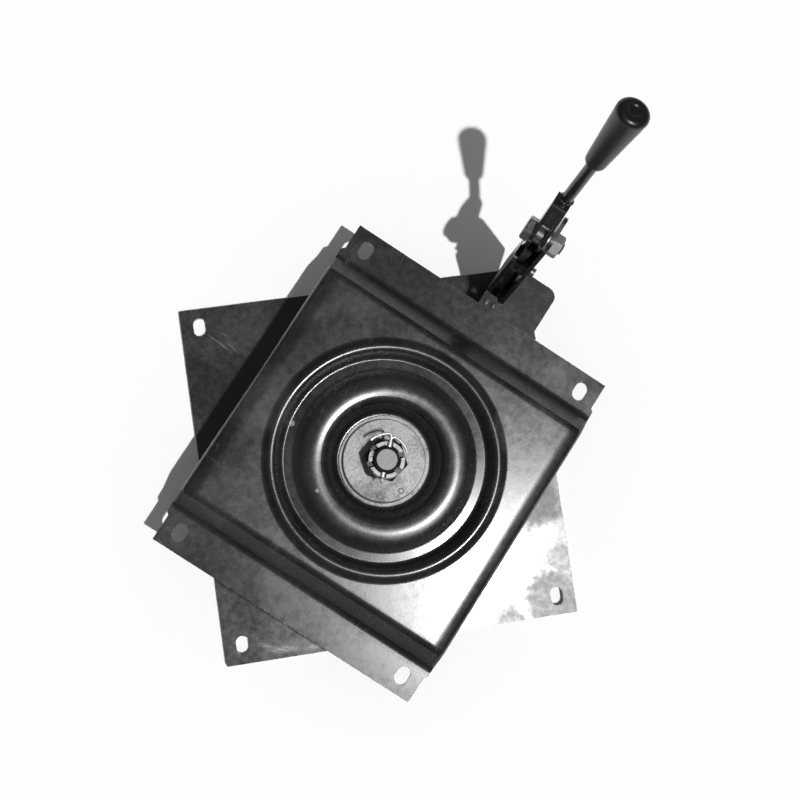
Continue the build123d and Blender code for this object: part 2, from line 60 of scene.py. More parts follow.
UP = Vector((0, 0, 1))
HEX_SIDES = 6
HEX_CHAMFER = 0.577
JOINTS = {joint["name"]: joint for joint in frame["joints"]}
LEVER_AXIS = Vector(JOINTS["lever_pull"]["axis"])
LEVER_PIVOT = Vector(JOINTS["lever_pull"]["pos_m"])
LEVER_OUT = LEVER_AXIS.cross(UP)

# Marks on the plates in plan, in metres: x, y, radius, strength
FLOOR_DULL = (
    (-0.134, -0.128, 0.036, 1.0),
    (-0.100, -0.138, 0.020, 0.7),
    (-0.050, -0.126, 0.028, 1.2),
    (-0.144, -0.090, 0.018, 0.6),
)
PANEL_CLOUDS = (
    (0.059, 0.086, 0.034, 0.75),
    (0.007, -0.116, 0.036, 0.90),
    (0.049, -0.148, 0.014, 0.80),
    (-0.010, 0.125, 0.030, 0.60),
)
PANEL_CHIPS = (
    (0.0386, 0.0675, 0.0028, 1.0),
    (-0.0160, 0.0557, 0.0020, 1.0),
    (0.0787, -0.1343, 0.0012, 0.9),
)

# Marks on the washers in plan, in metres: x, y, radius and strength of smudges, a ring mark, and the centre
# of a dark line of painted shade between the two washers
WASHER_SMUDGES = (
    (-0.0275, 0.0075, 0.0085, 0.95),
    (-0.0180, -0.0240, 0.0060, 0.30),
    (0.0240, -0.0120, 0.0080, 0.25),
)
WASHER_RING_AT = (-0.0253, -0.0097, 0.0)
WASHER_RING_RADIUS = 0.0020
WASHER_SHADE_AT = (-0.0005, 0.0008, 0.0)

# Pressed dish, from its foot in the panel to the bowl: radius, height over the panel, bend radius, in metres
DISH_CORNERS = (
    (0.0968, 0.0, 0.0),
    (0.0948, 0.0, 0.0050),
    (0.0875, 0.0053, 0.0048),
    (0.0802, -0.0061, 0.0028),
    (0.0715, -0.0054, 0.0050),
    (0.0645, -0.0007, 0.0120),
    (0.0558, 0.0012, 0.0260),
    (0.0460, -0.0009, 0.0100),
    (0.0380, -0.0140, 0.0040),
)
DISH_SEGMENTS = 288
BEND_STEP = radians(5.0)

# Fineness of the meshes, and how sharp an edge shows as one
BOLT_SEGMENTS = 72
HEAD_ROWS = 8
PITCH_ROWS = 10
SEAM_STEPS = 8
SLOT_STEPS = 12
AXIS_ROUNDS = 4
SAME_PLACE = 0.00001
SHARP_FROM = radians(32.0)
FLAT_WEIGHT = 100

# Where the sheared faces of the flanges begin, from the swivel axis in metres
FLANGE_CUT_FROM = (0.116, 0.117)

# Colours of the pieces inside
BALL_TONE = (0.7, 0.7, 0.7, 1.0)
CAGE_TONE = (0.10, 0.10, 0.10, 1.0)
BUSH_TONE = (0.55, 0.55, 0.52, 1.0)

# Camera sensor in millimetres, and how far up the sky that gloss shows brightens
SENSOR_WIDTH = 36.0
SKY_SPAN = (0.2, 0.95)

# Streaks rubbed into the plates in plan: x, y, length, width in metres, turn in degrees, strength
FLOOR_STREAKS = (
    (-0.138, 0.098, 0.034, 0.0080, 84.0, 1.00),
    (-0.133, 0.112, 0.016, 0.0050, 70.0, 0.80),
    (-0.140, 0.074, 0.018, 0.0060, 95.0, 0.80),
    (-0.094, 0.112, 0.024, 0.0040, 60.0, 0.55),
    (-0.088, 0.106, 0.014, 0.0030, 52.0, 0.45),
    (0.115, 0.116, 0.030, 0.0022, 45.0, 0.55),
    (0.110, 0.106, 0.020, 0.0018, 38.0, 0.45),
    (0.122, 0.112, 0.014, 0.0016, 56.0, 0.40),
)
PANEL_STREAKS = (
    (-0.037, 0.180, 0.012, 0.0014, 20.0, 0.45),
    (-0.028, 0.172, 0.008, 0.0010, 62.0, 0.35),
    (0.020, 0.132, 0.022, 0.0012, 48.0, 0.22),
    (-0.060, -0.020, 0.026, 0.0012, 12.0, 0.20),
)


# Values that a user would change

def colour(name, description, grey):
    """A neutral colour property."""
    return FloatVectorProperty(
        name=name,
        description=description,
        subtype="COLOR",
        size=4,
        min=0.0,
        max=1.0,
        default=(grey, grey, grey, 1.0),
    )


def share(name, description, default):
    """A property between nothing and all."""
    return FloatProperty(
        name=name,
        description=description,
        subtype="FACTOR",
        min=0.0,
        max=1.0,
        default=default,
    )


def length(name, description, default):
    """A length property in metres."""
    return FloatProperty(
        name=name,
        description=description,
        unit="LENGTH",
        min=0.0,
        default=default,
        precision=5,
    )


def angle(name, description, degrees):
    """An angle property."""
    return FloatProperty(
        name=name,
        description=description,
        subtype="ANGLE",
        min=0.0,
        default=radians(degrees),
    )


class SeatBaseFinish(bpy.types.PropertyGroup):
    """Colours and gloss of the metal and plastic pieces."""

    black: colour("Black", "Blackened steel where it is clean", 0.008)
    haze: colour("Haze", "Dried oil film on the blackened steel", 0.055)
    scuff: colour("Scuff", "Pale rubbed marks on the plates", 0.300)
    bare: colour("Bare Steel", "Steel where the black is worn off", 0.450)
    cut: colour("Cut Edge", "Sheared edges, slot walls and the cut bolt end", 0.240)
    washer: colour("Washers", "Dull steel of the two washers", 0.330)
    stud: colour("Bolt Steel", "Pins, spacers and the pivot bolt", 0.150)
    zinc: colour("Zinc", "Plated bolt, nut and split pin", 0.620)
    race: colour("Race Steel", "Pressed race and lock ring", 0.220)
    weld: colour("Weld", "Weld metal", 0.140)
    plastic: colour("Grip", "Moulded grip", 0.006)
    plate_roughness: share("Plate Roughness", "Roughness of the clean black plates", 0.268)
    bracket_roughness: share("Bracket Roughness", "Roughness of the black lever bracket", 0.26)
    lever_roughness: share("Lever Roughness", "Roughness of the black lever pieces", 0.17)
    grip_roughness: share("Grip Roughness", "Roughness of the moulded grip", 0.34)


class SeatBaseDetail(bpy.types.PropertyGroup):
    """Sizes of the small forms that are added to the pieces."""

    king_head: length("King Bolt Head", "Height of the king bolt's head", 0.0125)
    king_pitch: length("King Bolt Pitch", "Thread pitch of the king bolt", 0.0025)
    king_chamfer: length("King Bolt Chamfer", "Chamfer at the king bolt's end", 0.0021)
    head_gap: length("Head Gap", "Gap between the pivot bolt's head and the fork", 0.0002)
    pivot_pitch: length("Pivot Bolt Pitch", "Thread pitch of the pivot bolt", 0.0015)
    pivot_chamfer: length("Pivot Bolt Chamfer", "Chamfer at the pivot bolt's end", 0.0009)
    tack_radius: length("Tack Radius", "Radius of the tack welds at the channel's foot", 0.0024)
    rod_weld: length("Rod Weld", "Half width of the weld round the rod's foot", 0.0016)
    seam_radius: length("Seam Radius", "Half width of the welds at the race's foot", 0.0026)
    seam_turn: angle("Seam Turn", "Turn that one weld seam takes round the race", 34.0)
    ripple: length("Weld Ripple", "Distance between two ripples of a weld seam", 0.0016)
    edge_round: length("Edge Round", "Rounding of sheared edges as light shows it", 0.0005)


class SeatBasePressing(bpy.types.PropertyGroup):
    """Sizes of the pressed upper plate, seen from above."""

    sheet: length("Sheet", "Thickness of the pressed sheet", 0.003)
    panel_level: length("Panel Level", "Height of the panel's upper face", 0.065)
    flange_level: length("Flange Level", "Height of the end flanges' upper face", 0.051)
    lip_depth: length("Lip Depth", "How far the side lips reach down", 0.017)
    flange_step: length("Flange Step", "How far the flange is narrower than the panel on each side", 0.0025)
    joggle_middle: length("Joggle Middle", "Distance of a joggle's middle from the swivel axis", 0.1095)
    joggle_half: length("Joggle Half", "Distance from a joggle's middle to its flange", 0.0140)
    joggle_slope: angle("Joggle Slope", "Slope of the joggles", 44.0)
    joggle_bend: length("Joggle Bend", "Bend radius along the joggles", 0.008)
    roll: angle("Roll", "Gentle slope beside each joggle", 12.0)
    joggle_roll: length("Joggle Roll", "Drop of the gentle slope beside a joggle", 0.0007)
    lip_roll: length("Lip Roll", "Width of the gentle slope along the side lips", 0.0090)
    lip_lead: length("Lip Lead", "Flat stretch kept beside the gentle slope", 0.0063)
    lip_turn: angle("Lip Turn", "Gentle slope beside a side lip", 16.0)
    lip_roll_bend: length("Lip Roll Bend", "Bend radius from the panel into the gentle slope", 0.028)
    lip_bend: length("Lip Bend", "Bend radius from the gentle slope down the lip", 0.006)
    dish_margin: length("Dish Margin", "Flat stretch between the dish's foot and the joggles", 0.0001)
    slot_inset: length("Slot Inset", "Distance of the flange slots from the edges", 0.015)
    slot_length: length("Slot Length", "Length of the flange slots", 0.015)
    slot_width: length("Slot Width", "Width of the flange slots", 0.0105)
    bore: length("Bore", "Radius of the hole for the bush", 0.01306)


class SeatBaseStage(bpy.types.PropertyGroup):
    """Camera, floor and light."""

    camera_place: FloatVectorProperty(
        name="Camera Place", description="Where the camera stands", subtype="TRANSLATION", unit="LENGTH",
        default=(-0.01954, 0.08665, 1.04212),
    )
    camera_turn: FloatVectorProperty(
        name="Camera Turn", description="How the camera is turned", subtype="EULER", unit="ROTATION",
        default=(radians(4.586), radians(-5.516), radians(-98.278)),
    )
    lens: FloatProperty(
        name="Lens", description="Focal length on a 36 mm sensor, in millimetres", min=1.0, default=56.84,
    )
    key_from: FloatVectorProperty(
        name="Key From", description="Way to the main lamp", subtype="XYZ", default=(-0.25, -0.207, 1.0),
    )
    key_strength: FloatProperty(
        name="Key Strength", description="Strength of the main lamp", min=0.0, default=2.9,
    )
    key_angle: angle("Key Angle", "Width of the main lamp", 1.0)
    glint_place: FloatVectorProperty(
        name="Glint Place", description="Where the lamp that shows in gloss hangs", subtype="TRANSLATION",
        unit="LENGTH", default=(-0.29, -0.36, 1.75),
    )
    glint_power: FloatProperty(
        name="Glint Power", description="Power of the lamp that shows in gloss", unit="POWER",
        min=0.0, default=36.0,
    )
    glint_radius: length("Glint Radius", "Radius of the lamp that shows in gloss", 0.05)
    fill: share("Fill", "Even light from all round", 0.19)
    sky: share("Sky", "Brightness overhead that shows in gloss", 0.14)
    horizon: share("Horizon", "Brightness at the horizon that shows in gloss", 0.04)
    floor: colour("Floor", "Pale floor", 0.93)
    floor_side: length("Floor Side", "Side of the floor", 12.0)
    floor_gap: length("Floor Gap", "How far the floor lies below the floor plate", 0.0002)
    floor_roughness: share("Floor Roughness", "Roughness of the floor", 0.9)
    white_from: length("White From", "Distance at which the floor begins to turn white", 0.40)
    white_to: length("White To", "Distance from which the floor is white", 1.10)


# Node trees

MEASURES = {"LENGTH", "DISTANCE", "DOT_PRODUCT"}


class Tree:
    """A node tree with short ways to add and join nodes."""

    def __init__(self, tree):
        self.tree = tree

    def join(self, socket, target):
        """Joins an output to an input."""
        self.tree.links.new(socket, target)

    def add(self, kind, inputs=None, **settings):
        """Adds a node; an input takes a value or a socket to be joined to."""
        node = self.tree.nodes.new(kind)
        for name, value in settings.items():
            setattr(node, name, value)
        for name, value in (inputs or {}).items():
            if isinstance(value, bpy.types.NodeSocket):
                self.join(value, node.inputs[name])
            else:
                node.inputs[name].default_value = value
        return node

    def math(self, operation, first, second=0.0):
        """Sum, product or other operation on two values."""
        return self.add("ShaderNodeMath", {0: first, 1: second}, operation=operation).outputs["Value"]

    def vector(self, operation, first, second=(0.0, 0.0, 0.0)):
        """Operation on two vectors; gives a vector or, for a measure, a value."""
        node = self.add("ShaderNodeVectorMath", {0: first, 1: second}, operation=operation)
        return node.outputs["Value" if operation in MEASURES else "Vector"]

    def upward(self, vector):
        """The upright part of a vector."""
        return self.add("ShaderNodeSeparateXYZ", {"Vector": vector}).outputs["Z"]

    def facing_up(self):
        """How far the surface looks up."""
        return self.upward(self.add("ShaderNodeNewGeometry").outputs["Normal"])

    def in_plan(self, place):
        """A place as seen from above."""
        return self.vector("MULTIPLY", place, (1.0, 1.0, 0.0))

    def ramp(self, value, low, high, to_low=0.0, to_high=1.0):
        """Smooth step of a value between two limits."""
        node = self.add(
            "ShaderNodeMapRange",
            {"Value": value, "From Min": low, "From Max": high, "To Min": to_low, "To Max": to_high},
            interpolation_type="SMOOTHSTEP",
        )
        return node.outputs["Result"]

    def blend(self, share, first, second):
        """Colour between two colours."""
        return self.add("ShaderNodeMix", {0: share, 6: first, 7: second}, data_type="RGBA").outputs[2]

    def noise(self, vector, scale, seed, detail=5.0, distortion=0.0, roughness=0.5):
        """Seeded noise about 0.5."""
        inputs = {
            "Vector": vector, "Scale": scale, "W": seed,
            "Detail": detail, "Distortion": distortion, "Roughness": roughness,
        }
        return self.add("ShaderNodeTexNoise", inputs, noise_dimensions="4D").outputs["Fac"]

    def group(self, name, **inputs):
        """Places a shared group and returns its output."""
        return self.add("ShaderNodeGroup", inputs, node_tree=bpy.data.node_groups[name]).outputs[0]

    def stains(self, place, scale, low, high, seed, distortion=0.6):
        """Mask of cloudy stains."""
        return self.group(
            "cloudy_stains",
            Vector=place, Scale=scale, Low=low, High=high, Distortion=distortion, Seed=seed,
        )


def new_group(name, output, **defaults):
    """Makes an empty shader group whose inputs are a place, the named values and a seed."""
    tree = bpy.data.node_groups.new(name, "ShaderNodeTree")
    for key, default in {"Vector": (0.0, 0.0, 0.0), **defaults, "Seed": 0.0}.items():
        kind = "NodeSocketFloat" if isinstance(default, float) else "NodeSocketVector"
        tree.interface.new_socket(name=key, in_out="INPUT", socket_type=kind).default_value = default
    tree.interface.new_socket(name=output, in_out="OUTPUT", socket_type="NodeSocketFloat")
    maker = Tree(tree)
    entry = maker.add("NodeGroupInput").outputs
    leave = maker.add("NodeGroupOutput").inputs[output]
    return maker, entry, leave


def make_stain_group():
    """Cloudy stains: a mask that is one inside the patches."""
    maker, entry, leave = new_group("cloudy_stains", "Mask", Scale=30.0, Low=0.45, High=0.65, Distortion=0.6)
    cloud = maker.noise(entry["Vector"], entry["Scale"], entry["Seed"], distortion=entry["Distortion"])
    maker.join(maker.ramp(cloud, entry["Low"], entry["High"]), leave)


def make_scratch_group():
    """Hairline scratches along one direction, broken up over the surface."""
    maker, entry, leave = new_group(
        "hairline_scratches", "Mask",
        Scale=20.0, Stretch=14.0, Angle=0.0, Width=0.008, Low=0.5, High=0.6,
    )
    turned = maker.add(
        "ShaderNodeVectorRotate",
        {"Vector": entry["Vector"], "Angle": entry["Angle"]},
        rotation_type="Z_AXIS",
    )
    pull = maker.add("ShaderNodeCombineXYZ", {"X": 1.0, "Y": entry["Stretch"], "Z": 1.0})
    drawn = maker.vector("MULTIPLY", turned.outputs["Vector"], pull.outputs["Vector"])
    line = maker.noise(drawn, entry["Scale"], entry["Seed"], detail=3.0, distortion=0.3)
    off_line = maker.math("ABSOLUTE", maker.math("SUBTRACT", line, 0.5))
    thin = maker.ramp(off_line, 0.0, entry["Width"], 1.0, 0.0)
    place = maker.noise(entry["Vector"], entry["Scale"], maker.math("ADD", entry["Seed"], 7.0))
    shown = maker.ramp(place, entry["Low"], entry["High"])
    maker.join(maker.math("MULTIPLY", thin, shown), leave)


def make_edge_group():
    """Worn edges: a broken mask along the sharp edges of a piece."""
    maker, entry, leave = new_group("worn_edges", "Mask", Radius=0.0006, Scale=120.0, Low=0.35, High=0.6)
    softened = maker.add("ShaderNodeBevel", {"Radius": entry["Radius"]}, samples=6).outputs["Normal"]
    true_normal = maker.add("ShaderNodeNewGeometry").outputs["Normal"]
    edge = maker.ramp(maker.vector("DOT_PRODUCT", softened, true_normal), 0.80, 0.97, 1.0, 0.0)
    cloud = maker.noise(entry["Vector"], entry["Scale"], entry["Seed"])
    rubbed = maker.ramp(cloud, entry["Low"], entry["High"])
    maker.join(maker.math("MULTIPLY", edge, rubbed), leave)


def make_patch_group():
    """A ragged patch round one place."""
    maker, entry, leave = new_group(
        "ragged_patch", "Mask",
        Centre=(0.0, 0.0, 0.0), Radius=0.03, Ragged=0.6, Scale=60.0,
    )
    away = maker.vector("DISTANCE", entry["Vector"], entry["Centre"])
    share_out = maker.math("DIVIDE", away, entry["Radius"])
    edge_noise = maker.noise(entry["Vector"], entry["Scale"], entry["Seed"], detail=9.0, roughness=0.68)
    shake = maker.math("SUBTRACT", edge_noise, 0.5)
    rough_edge = maker.math("ADD", share_out, maker.math("MULTIPLY", shake, entry["Ragged"]))
    maker.join(maker.ramp(rough_edge, 0.45, 1.0, 1.0, 0.0), leave)


def make_streak_group():
    """A streak rubbed in one direction, broken into fine lines along it."""
    maker, entry, leave = new_group(
        "rubbed_streak", "Mask",
        Centre=(0.0, 0.0, 0.0), Angle=0.0, Length=0.02, Width=0.002,
    )
    back = maker.math("MULTIPLY", entry["Angle"], -1.0)
    turned = maker.add(
        "ShaderNodeVectorRotate",
        {"Vector": entry["Vector"], "Center": entry["Centre"], "Angle": back},
        rotation_type="Z_AXIS",
    ).outputs["Vector"]
    own = maker.vector("SUBTRACT", turned, entry["Centre"])
    size = maker.add("ShaderNodeCombineXYZ", {"X": entry["Length"], "Y": entry["Width"], "Z": 1.0})
    away = maker.vector("LENGTH", maker.vector("DIVIDE", own, size.outputs["Vector"]))
    fine = maker.vector("MULTIPLY", own, (0.12, 1.0, 0.0))
    lines = maker.noise(fine, 1500.0, entry["Seed"], detail=4.0, roughness=0.6)
    torn = maker.math("ADD", away, maker.math("SUBTRACT", lines, 0.5))
    body = maker.ramp(torn, 0.15, 0.55, 1.0, 0.0)
    maker.join(maker.math("MULTIPLY", body, maker.ramp(lines, 0.40, 0.62)), leave)


def make_grain_group():
    """Fine unevenness of a rolled or moulded surface, as a height."""
    maker, entry, leave = new_group("fine_grain", "Height", Scale=900.0, Wave=60.0)
    fine = maker.noise(entry["Vector"], entry["Scale"], entry["Seed"], detail=3.0)
    wavy = maker.noise(entry["Vector"], entry["Wave"], entry["Seed"], detail=2.0)
    maker.join(maker.math("ADD", maker.math("MULTIPLY", fine, 0.35), wavy), leave)


GROUP_MAKERS = (
    make_stain_group,
    make_scratch_group,
    make_edge_group,
    make_patch_group,
    make_streak_group,
    make_grain_group,
)


def new_material(name):
    """Makes a material with one shader; returns it with its tree, shader and place on the piece."""
    material = bpy.data.materials.new(name)
    material.use_nodes = True
    maker = Tree(material.node_tree)
    shader = material.node_tree.nodes["Principled BSDF"]
    place = maker.add("ShaderNodeTexCoord").outputs["Object"]
    return material, maker, shader, place


def feed(maker, shader, **sockets):
    """Joins sockets to the shader's inputs; underscores stand for spaces."""
    for name, socket in sockets.items():
        maker.join(socket, shader.inputs[name.replace("_", " ")])


def rough_normal(maker, height, depth, round_edge=0.0):
    """Bump of a height in metres, over edges rounded in shading."""
    bump = maker.add("ShaderNodeBump", {"Height": height, "Strength": 1.0, "Distance": depth})
    if round_edge:
        softened = maker.add("ShaderNodeBevel", {"Radius": round_edge}, samples=4)
        maker.join(softened.outputs["Normal"], bump.inputs["Normal"])
    return bump.outputs["Normal"]


def darker(tone, share):
    """A colour brought down to a share of its brightness."""
    return tuple(part * share for part in tone[:3]) + (1.0,)


# Finishes

def black_steel(
    name, finish, detail, roughness, seed, haze, mottling,
    soft=(), marks=(), streaks=(), dull=(), cut=None,
):
    """Oil-blackened steel: cloudy film, satin mottling, hairline scratches, bare edges and its own marks.

    Soft clouds, rubbed marks and dull patches are (x, y, radius, strength), streaks are (x, y, length, width,
    turn, strength), and cut makes the mask of sheared faces.
    """
    material, maker, shader, place = new_material(name)
    cloud = maker.stains(place, 20.0, 0.34, 0.74, seed, 0.7)
    mottle = maker.stains(place, 190.0, 0.25, 0.75, seed + 1.0, 0.2)
    speckle = maker.stains(place, 1100.0, 0.30, 0.70, seed + 6.0)
    long_scratch = maker.group("hairline_scratches", Vector=place, Angle=radians(35.0), Seed=seed + 2.0)
    short_scratch = maker.group(
        "hairline_scratches",
        Vector=place, Scale=45.0, Angle=radians(-50.0), Width=0.006, Seed=seed + 3.0,
    )
    edge = maker.group("worn_edges", Vector=place, Radius=detail.edge_round, Seed=seed + 4.0)
    grainy = maker.math("ADD", maker.math("MULTIPLY", mottle, 0.6), maker.math("MULTIPLY", speckle, 0.4))
    film = maker.math("MULTIPLY", maker.math("MULTIPLY", cloud, haze), maker.math("ADD", grainy, 0.35))
    film = spread_patches(maker, film, place, soft, grainy, 1.1, seed + 10.0)
    rub = maker.math("MULTIPLY", maker.math("MAXIMUM", long_scratch, short_scratch), 0.16)
    rub = spread_patches(maker, rub, place, marks, speckle, 1.4, seed + 20.0)
    rub = spread_streaks(maker, rub, place, streaks, seed + 40.0)
    dry = spread_patches(maker, 0.0, place, dull, None, 1.5, seed + 30.0)
    tone = maker.blend(film, finish.black, finish.haze)
    tone = maker.blend(maker.math("MULTIPLY", dry, 0.30), tone, finish.scuff)
    tone = maker.blend(rub, tone, finish.scuff)
    metal = edge
    if cut:
        sheared = cut(maker, place)
        tone = maker.blend(sheared, tone, finish.cut)
        metal = maker.math("MAXIMUM", edge, maker.math("MULTIPLY", sheared, 0.5))
    rougher = roughness
    for mask, middle, strength in (
        (grainy, 0.5, 0.13 * mottling), (cloud, 0.5, 0.07 * mottling), (rub, 0.0, 0.15), (dry, 0.0, 0.17),
    ):
        change = maker.math("MULTIPLY", maker.math("SUBTRACT", mask, middle), strength)
        rougher = maker.math("ADD", change, rougher)
    height = maker.group("fine_grain", Vector=place, Seed=seed)
    feed(
        maker, shader,
        Base_Color=maker.blend(edge, tone, finish.bare),
        Roughness=rougher,
        Metallic=metal,
        Normal=rough_normal(maker, height, 0.00005, detail.edge_round),
    )
    shader.inputs["Specular IOR Level"].default_value = 0.7
    return material


def spread_streaks(maker, mask, place, streaks, seed):
    """Adds rubbed streaks at places in plan to a mask."""
    plan = maker.in_plan(place)
    for number, (x, y, along, across, turn, strength) in enumerate(streaks):
        streak = maker.group(
            "rubbed_streak",
            Vector=plan, Centre=(x, y, 0.0), Angle=radians(turn),
            Length=along, Width=across, Seed=seed + number,
        )
        mask = maker.math("MAXIMUM", maker.math("MULTIPLY", streak, strength), mask)
    return mask


def spread_patches(maker, mask, place, patches, texture, ragged, seed):
    """Adds ragged patches at places in plan to a mask, broken up by a texture."""
    plan = maker.in_plan(place)
    for number, (x, y, radius, strength) in enumerate(patches):
        patch = maker.group(
            "ragged_patch",
            Vector=plan, Centre=(x, y, 0.0), Radius=radius,
            Ragged=ragged, Scale=1.6 / radius, Seed=seed + number,
        )
        patch = maker.math("MULTIPLY", patch, strength)
        if texture:
            broken = maker.math("ADD", maker.math("MULTIPLY", texture, 0.6), 0.4)
            patch = maker.math("MULTIPLY", patch, broken)
        mask = maker.math("MAXIMUM", patch, mask)
    return mask


def upright_faces(maker, place):
    """Mask of faces that stand upright, such as sheared edges of a flat plate."""
    return maker.ramp(maker.math("ABSOLUTE", maker.facing_up()), 0.2, 0.4, 1.0, 0.0)


def flange_faces(maker, place):
    """Upright faces beyond the pressed panel: flange ends and slot walls."""
    along = maker.vector("DOT_PRODUCT", place, LEVER_OUT)
    beyond = maker.ramp(maker.math("ABSOLUTE", along), *FLANGE_CUT_FROM)
    return maker.math("MULTIPLY", upright_faces(maker, place), beyond)


def bare_steel(name, tone, seed, roughness, stain, dark=0.45, metallic=1.0, cloud_scale=60.0):
    """Bare or plated steel with soft stains, specks and fine turning marks."""
    material, maker, shader, place = new_material(name)
    cloud = maker.stains(place, cloud_scale, 0.40, 0.72, seed, 0.8)
    speck = maker.stains(place, 420.0, 0.55, 0.72, seed + 1.0)
    dirt = maker.math("MULTIPLY", maker.math("MAXIMUM", cloud, speck), stain)
    height = maker.group("fine_grain", Vector=place, Scale=1600.0, Wave=220.0, Seed=seed)
    feed(
        maker, shader,
        Base_Color=maker.blend(dirt, tone, darker(tone, dark)),
        Roughness=maker.math("ADD", maker.math("MULTIPLY", dirt, 0.35), roughness),
        Normal=rough_normal(maker, height, 0.00003, 0.0003),
    )
    shader.inputs["Metallic"].default_value = metallic
    return material


def washer_steel(name, finish, seed):
    """Dull washers with grain, an oil smudge, a small ring mark and a dark line of painted shade between the
    two.
    """
    material, maker, shader, place = new_material(name)
    plan = maker.in_plan(place)
    cloud = maker.stains(place, 75.0, 0.40, 0.72, seed, 0.8)
    speck = maker.stains(place, 900.0, 0.36, 0.70, seed + 1.0)
    dirt = maker.math("ADD", maker.math("MULTIPLY", cloud, 0.35), maker.math("MULTIPLY", speck, 0.40))
    smudge = spread_patches(maker, 0.0, place, WASHER_SMUDGES, speck, 1.6, seed + 2.0)
    from_mark = maker.vector("DISTANCE", plan, WASHER_RING_AT)
    ring_edge = maker.math("ABSOLUTE", maker.math("SUBTRACT", from_mark, WASHER_RING_RADIUS))
    ring_mark = maker.ramp(ring_edge, 0.0002, 0.0008, 0.8, 0.0)
    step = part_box("wear_washer")[1].z
    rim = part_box("nut_washer")[1].x
    # The oil mask below is painted shade: a dark line on the wear washer just outside the nut washer's rim.
    # It is off centre, so it is wider on one side, and the dirt mask carries it from here on.
    low_down = maker.ramp(maker.upward(place), step, step + 0.0004, 1.0, 0.0)
    from_rim = maker.vector("DISTANCE", plan, WASHER_SHADE_AT)
    oil = maker.math("MULTIPLY", maker.ramp(from_rim, rim + 0.0001, rim + 0.0008, 1.0, 0.0), low_down)
    for mark in (smudge, ring_mark, oil):
        dirt = maker.math("MAXIMUM", dirt, mark)
    height = maker.group("fine_grain", Vector=place, Scale=1600.0, Wave=220.0, Seed=seed)
    feed(
        maker, shader,
        Base_Color=maker.blend(dirt, finish.washer, darker(finish.washer, 0.14)),
        Roughness=maker.ramp(dirt, 0.0, 1.0, 0.50, 0.66),
        Normal=rough_normal(maker, height, 0.00004, 0.0003),
    )
    shader.inputs["Metallic"].default_value = 0.3
    return material


def stud_steel(name, finish, seed):
    """Bolt whose cut end is rubbed, and whose thread and chamfer are painted black as painted shade of the
    gap round the bolt's end.
    """
    material, maker, shader, place = new_material(name)
    end_face = maker.ramp(maker.facing_up(), 0.90, 0.97)
    cloud = maker.stains(place, 260.0, 0.36, 0.68, seed)
    worn = maker.blend(cloud, finish.weld, finish.cut)
    height = maker.group("fine_grain", Vector=place, Scale=1600.0, Wave=300.0, Seed=seed)
    feed(
        maker, shader,
        # Every face that does not look up, the thread and its chamfer, is painted black: painted shade of the
        # gap between the bolt's end and the nut's crown.
        Base_Color=maker.blend(end_face, finish.black, worn),
        Roughness=maker.ramp(cloud, 0.0, 1.0, 0.44, 0.58),
        Metallic=maker.math("MULTIPLY", end_face, 0.35),
        Normal=rough_normal(maker, height, 0.00005),
    )
    return material


def crown_steel(name, finish, seed):
    """Black nut whose crown is rubbed bright on top."""
    material, maker, shader, place = new_material(name)
    crown_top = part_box("castle_nut")[1].z
    on_top = maker.ramp(maker.upward(place), crown_top - 0.0006, crown_top - 0.0001)
    bright = maker.math("MULTIPLY", on_top, maker.stains(place, 260.0, 0.30, 0.50, seed))
    film = maker.stains(place, 180.0, 0.6, 0.9, seed + 1.0)
    black = maker.blend(film, finish.black, finish.haze)
    height = maker.group("fine_grain", Vector=place, Seed=seed)
    feed(
        maker, shader,
        Base_Color=maker.blend(bright, black, finish.washer),
        Metallic=maker.math("MULTIPLY", bright, 0.4),
        Roughness=maker.ramp(bright, 0.0, 1.0, 0.24, 0.50),
        Normal=rough_normal(maker, height, 0.00004, 0.0003),
    )
    return material


def moulded_plastic(name, tone, roughness, seed):
    """Moulded plastic with a fine texture and dull handling marks."""
    material, maker, shader, place = new_material(name)
    handled = maker.stains(place, 90.0, 0.45, 0.7, seed)
    pale = tuple(min(1.0, part * 1.4 + 0.002) for part in tone[:3]) + (1.0,)
    height = maker.group("fine_grain", Vector=place, Scale=2200.0, Wave=150.0, Seed=seed)
    feed(
        maker, shader,
        Base_Color=maker.blend(handled, tone, pale),
        Roughness=maker.ramp(handled, 0.0, 1.0, roughness, roughness + 0.05),
        Normal=rough_normal(maker, height, 0.00003),
    )
    return material


def dress(material, *nodes):
    """Gives CAD nodes a finish."""
    for name in nodes:
        slots = frame["nodes"][name].data.materials
        slots.clear()
        slots.append(material)


# Meshes

def finish_mesh(name, shape, material, body):
    """Turns a built shape into a piece that rides on a body."""
    bmesh.ops.recalc_face_normals(shape, faces=shape.faces)
    mesh = bpy.data.meshes.new(name)
    shape.to_mesh(mesh)
    shape.free()
    mesh.materials.append(material)
    mesh.shade_smooth()
    mesh.set_sharp_from_angle(angle=SHARP_FROM)
    piece = bpy.data.objects.new(name, mesh)
    bpy.context.scene.collection.objects.link(piece)
    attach(piece, body)
    return piece


def strip(shape, rows):
    """Faces between rows of points."""
    for low, high in zip(rows, rows[1:]):
        for corners in zip(low, low[1:], high[1:], high):
            shape.faces.new(corners)


def closed(points):
    """A list of points or rows that comes back to its start."""
    return points + points[:1]


def loop_edges(shape, points):
    """Edges round a closed loop of points, made where there are none."""
    pairs = zip(points, points[1:] + points[:1])
    return [shape.edges.get(pair) or shape.edges.new(pair) for pair in pairs]


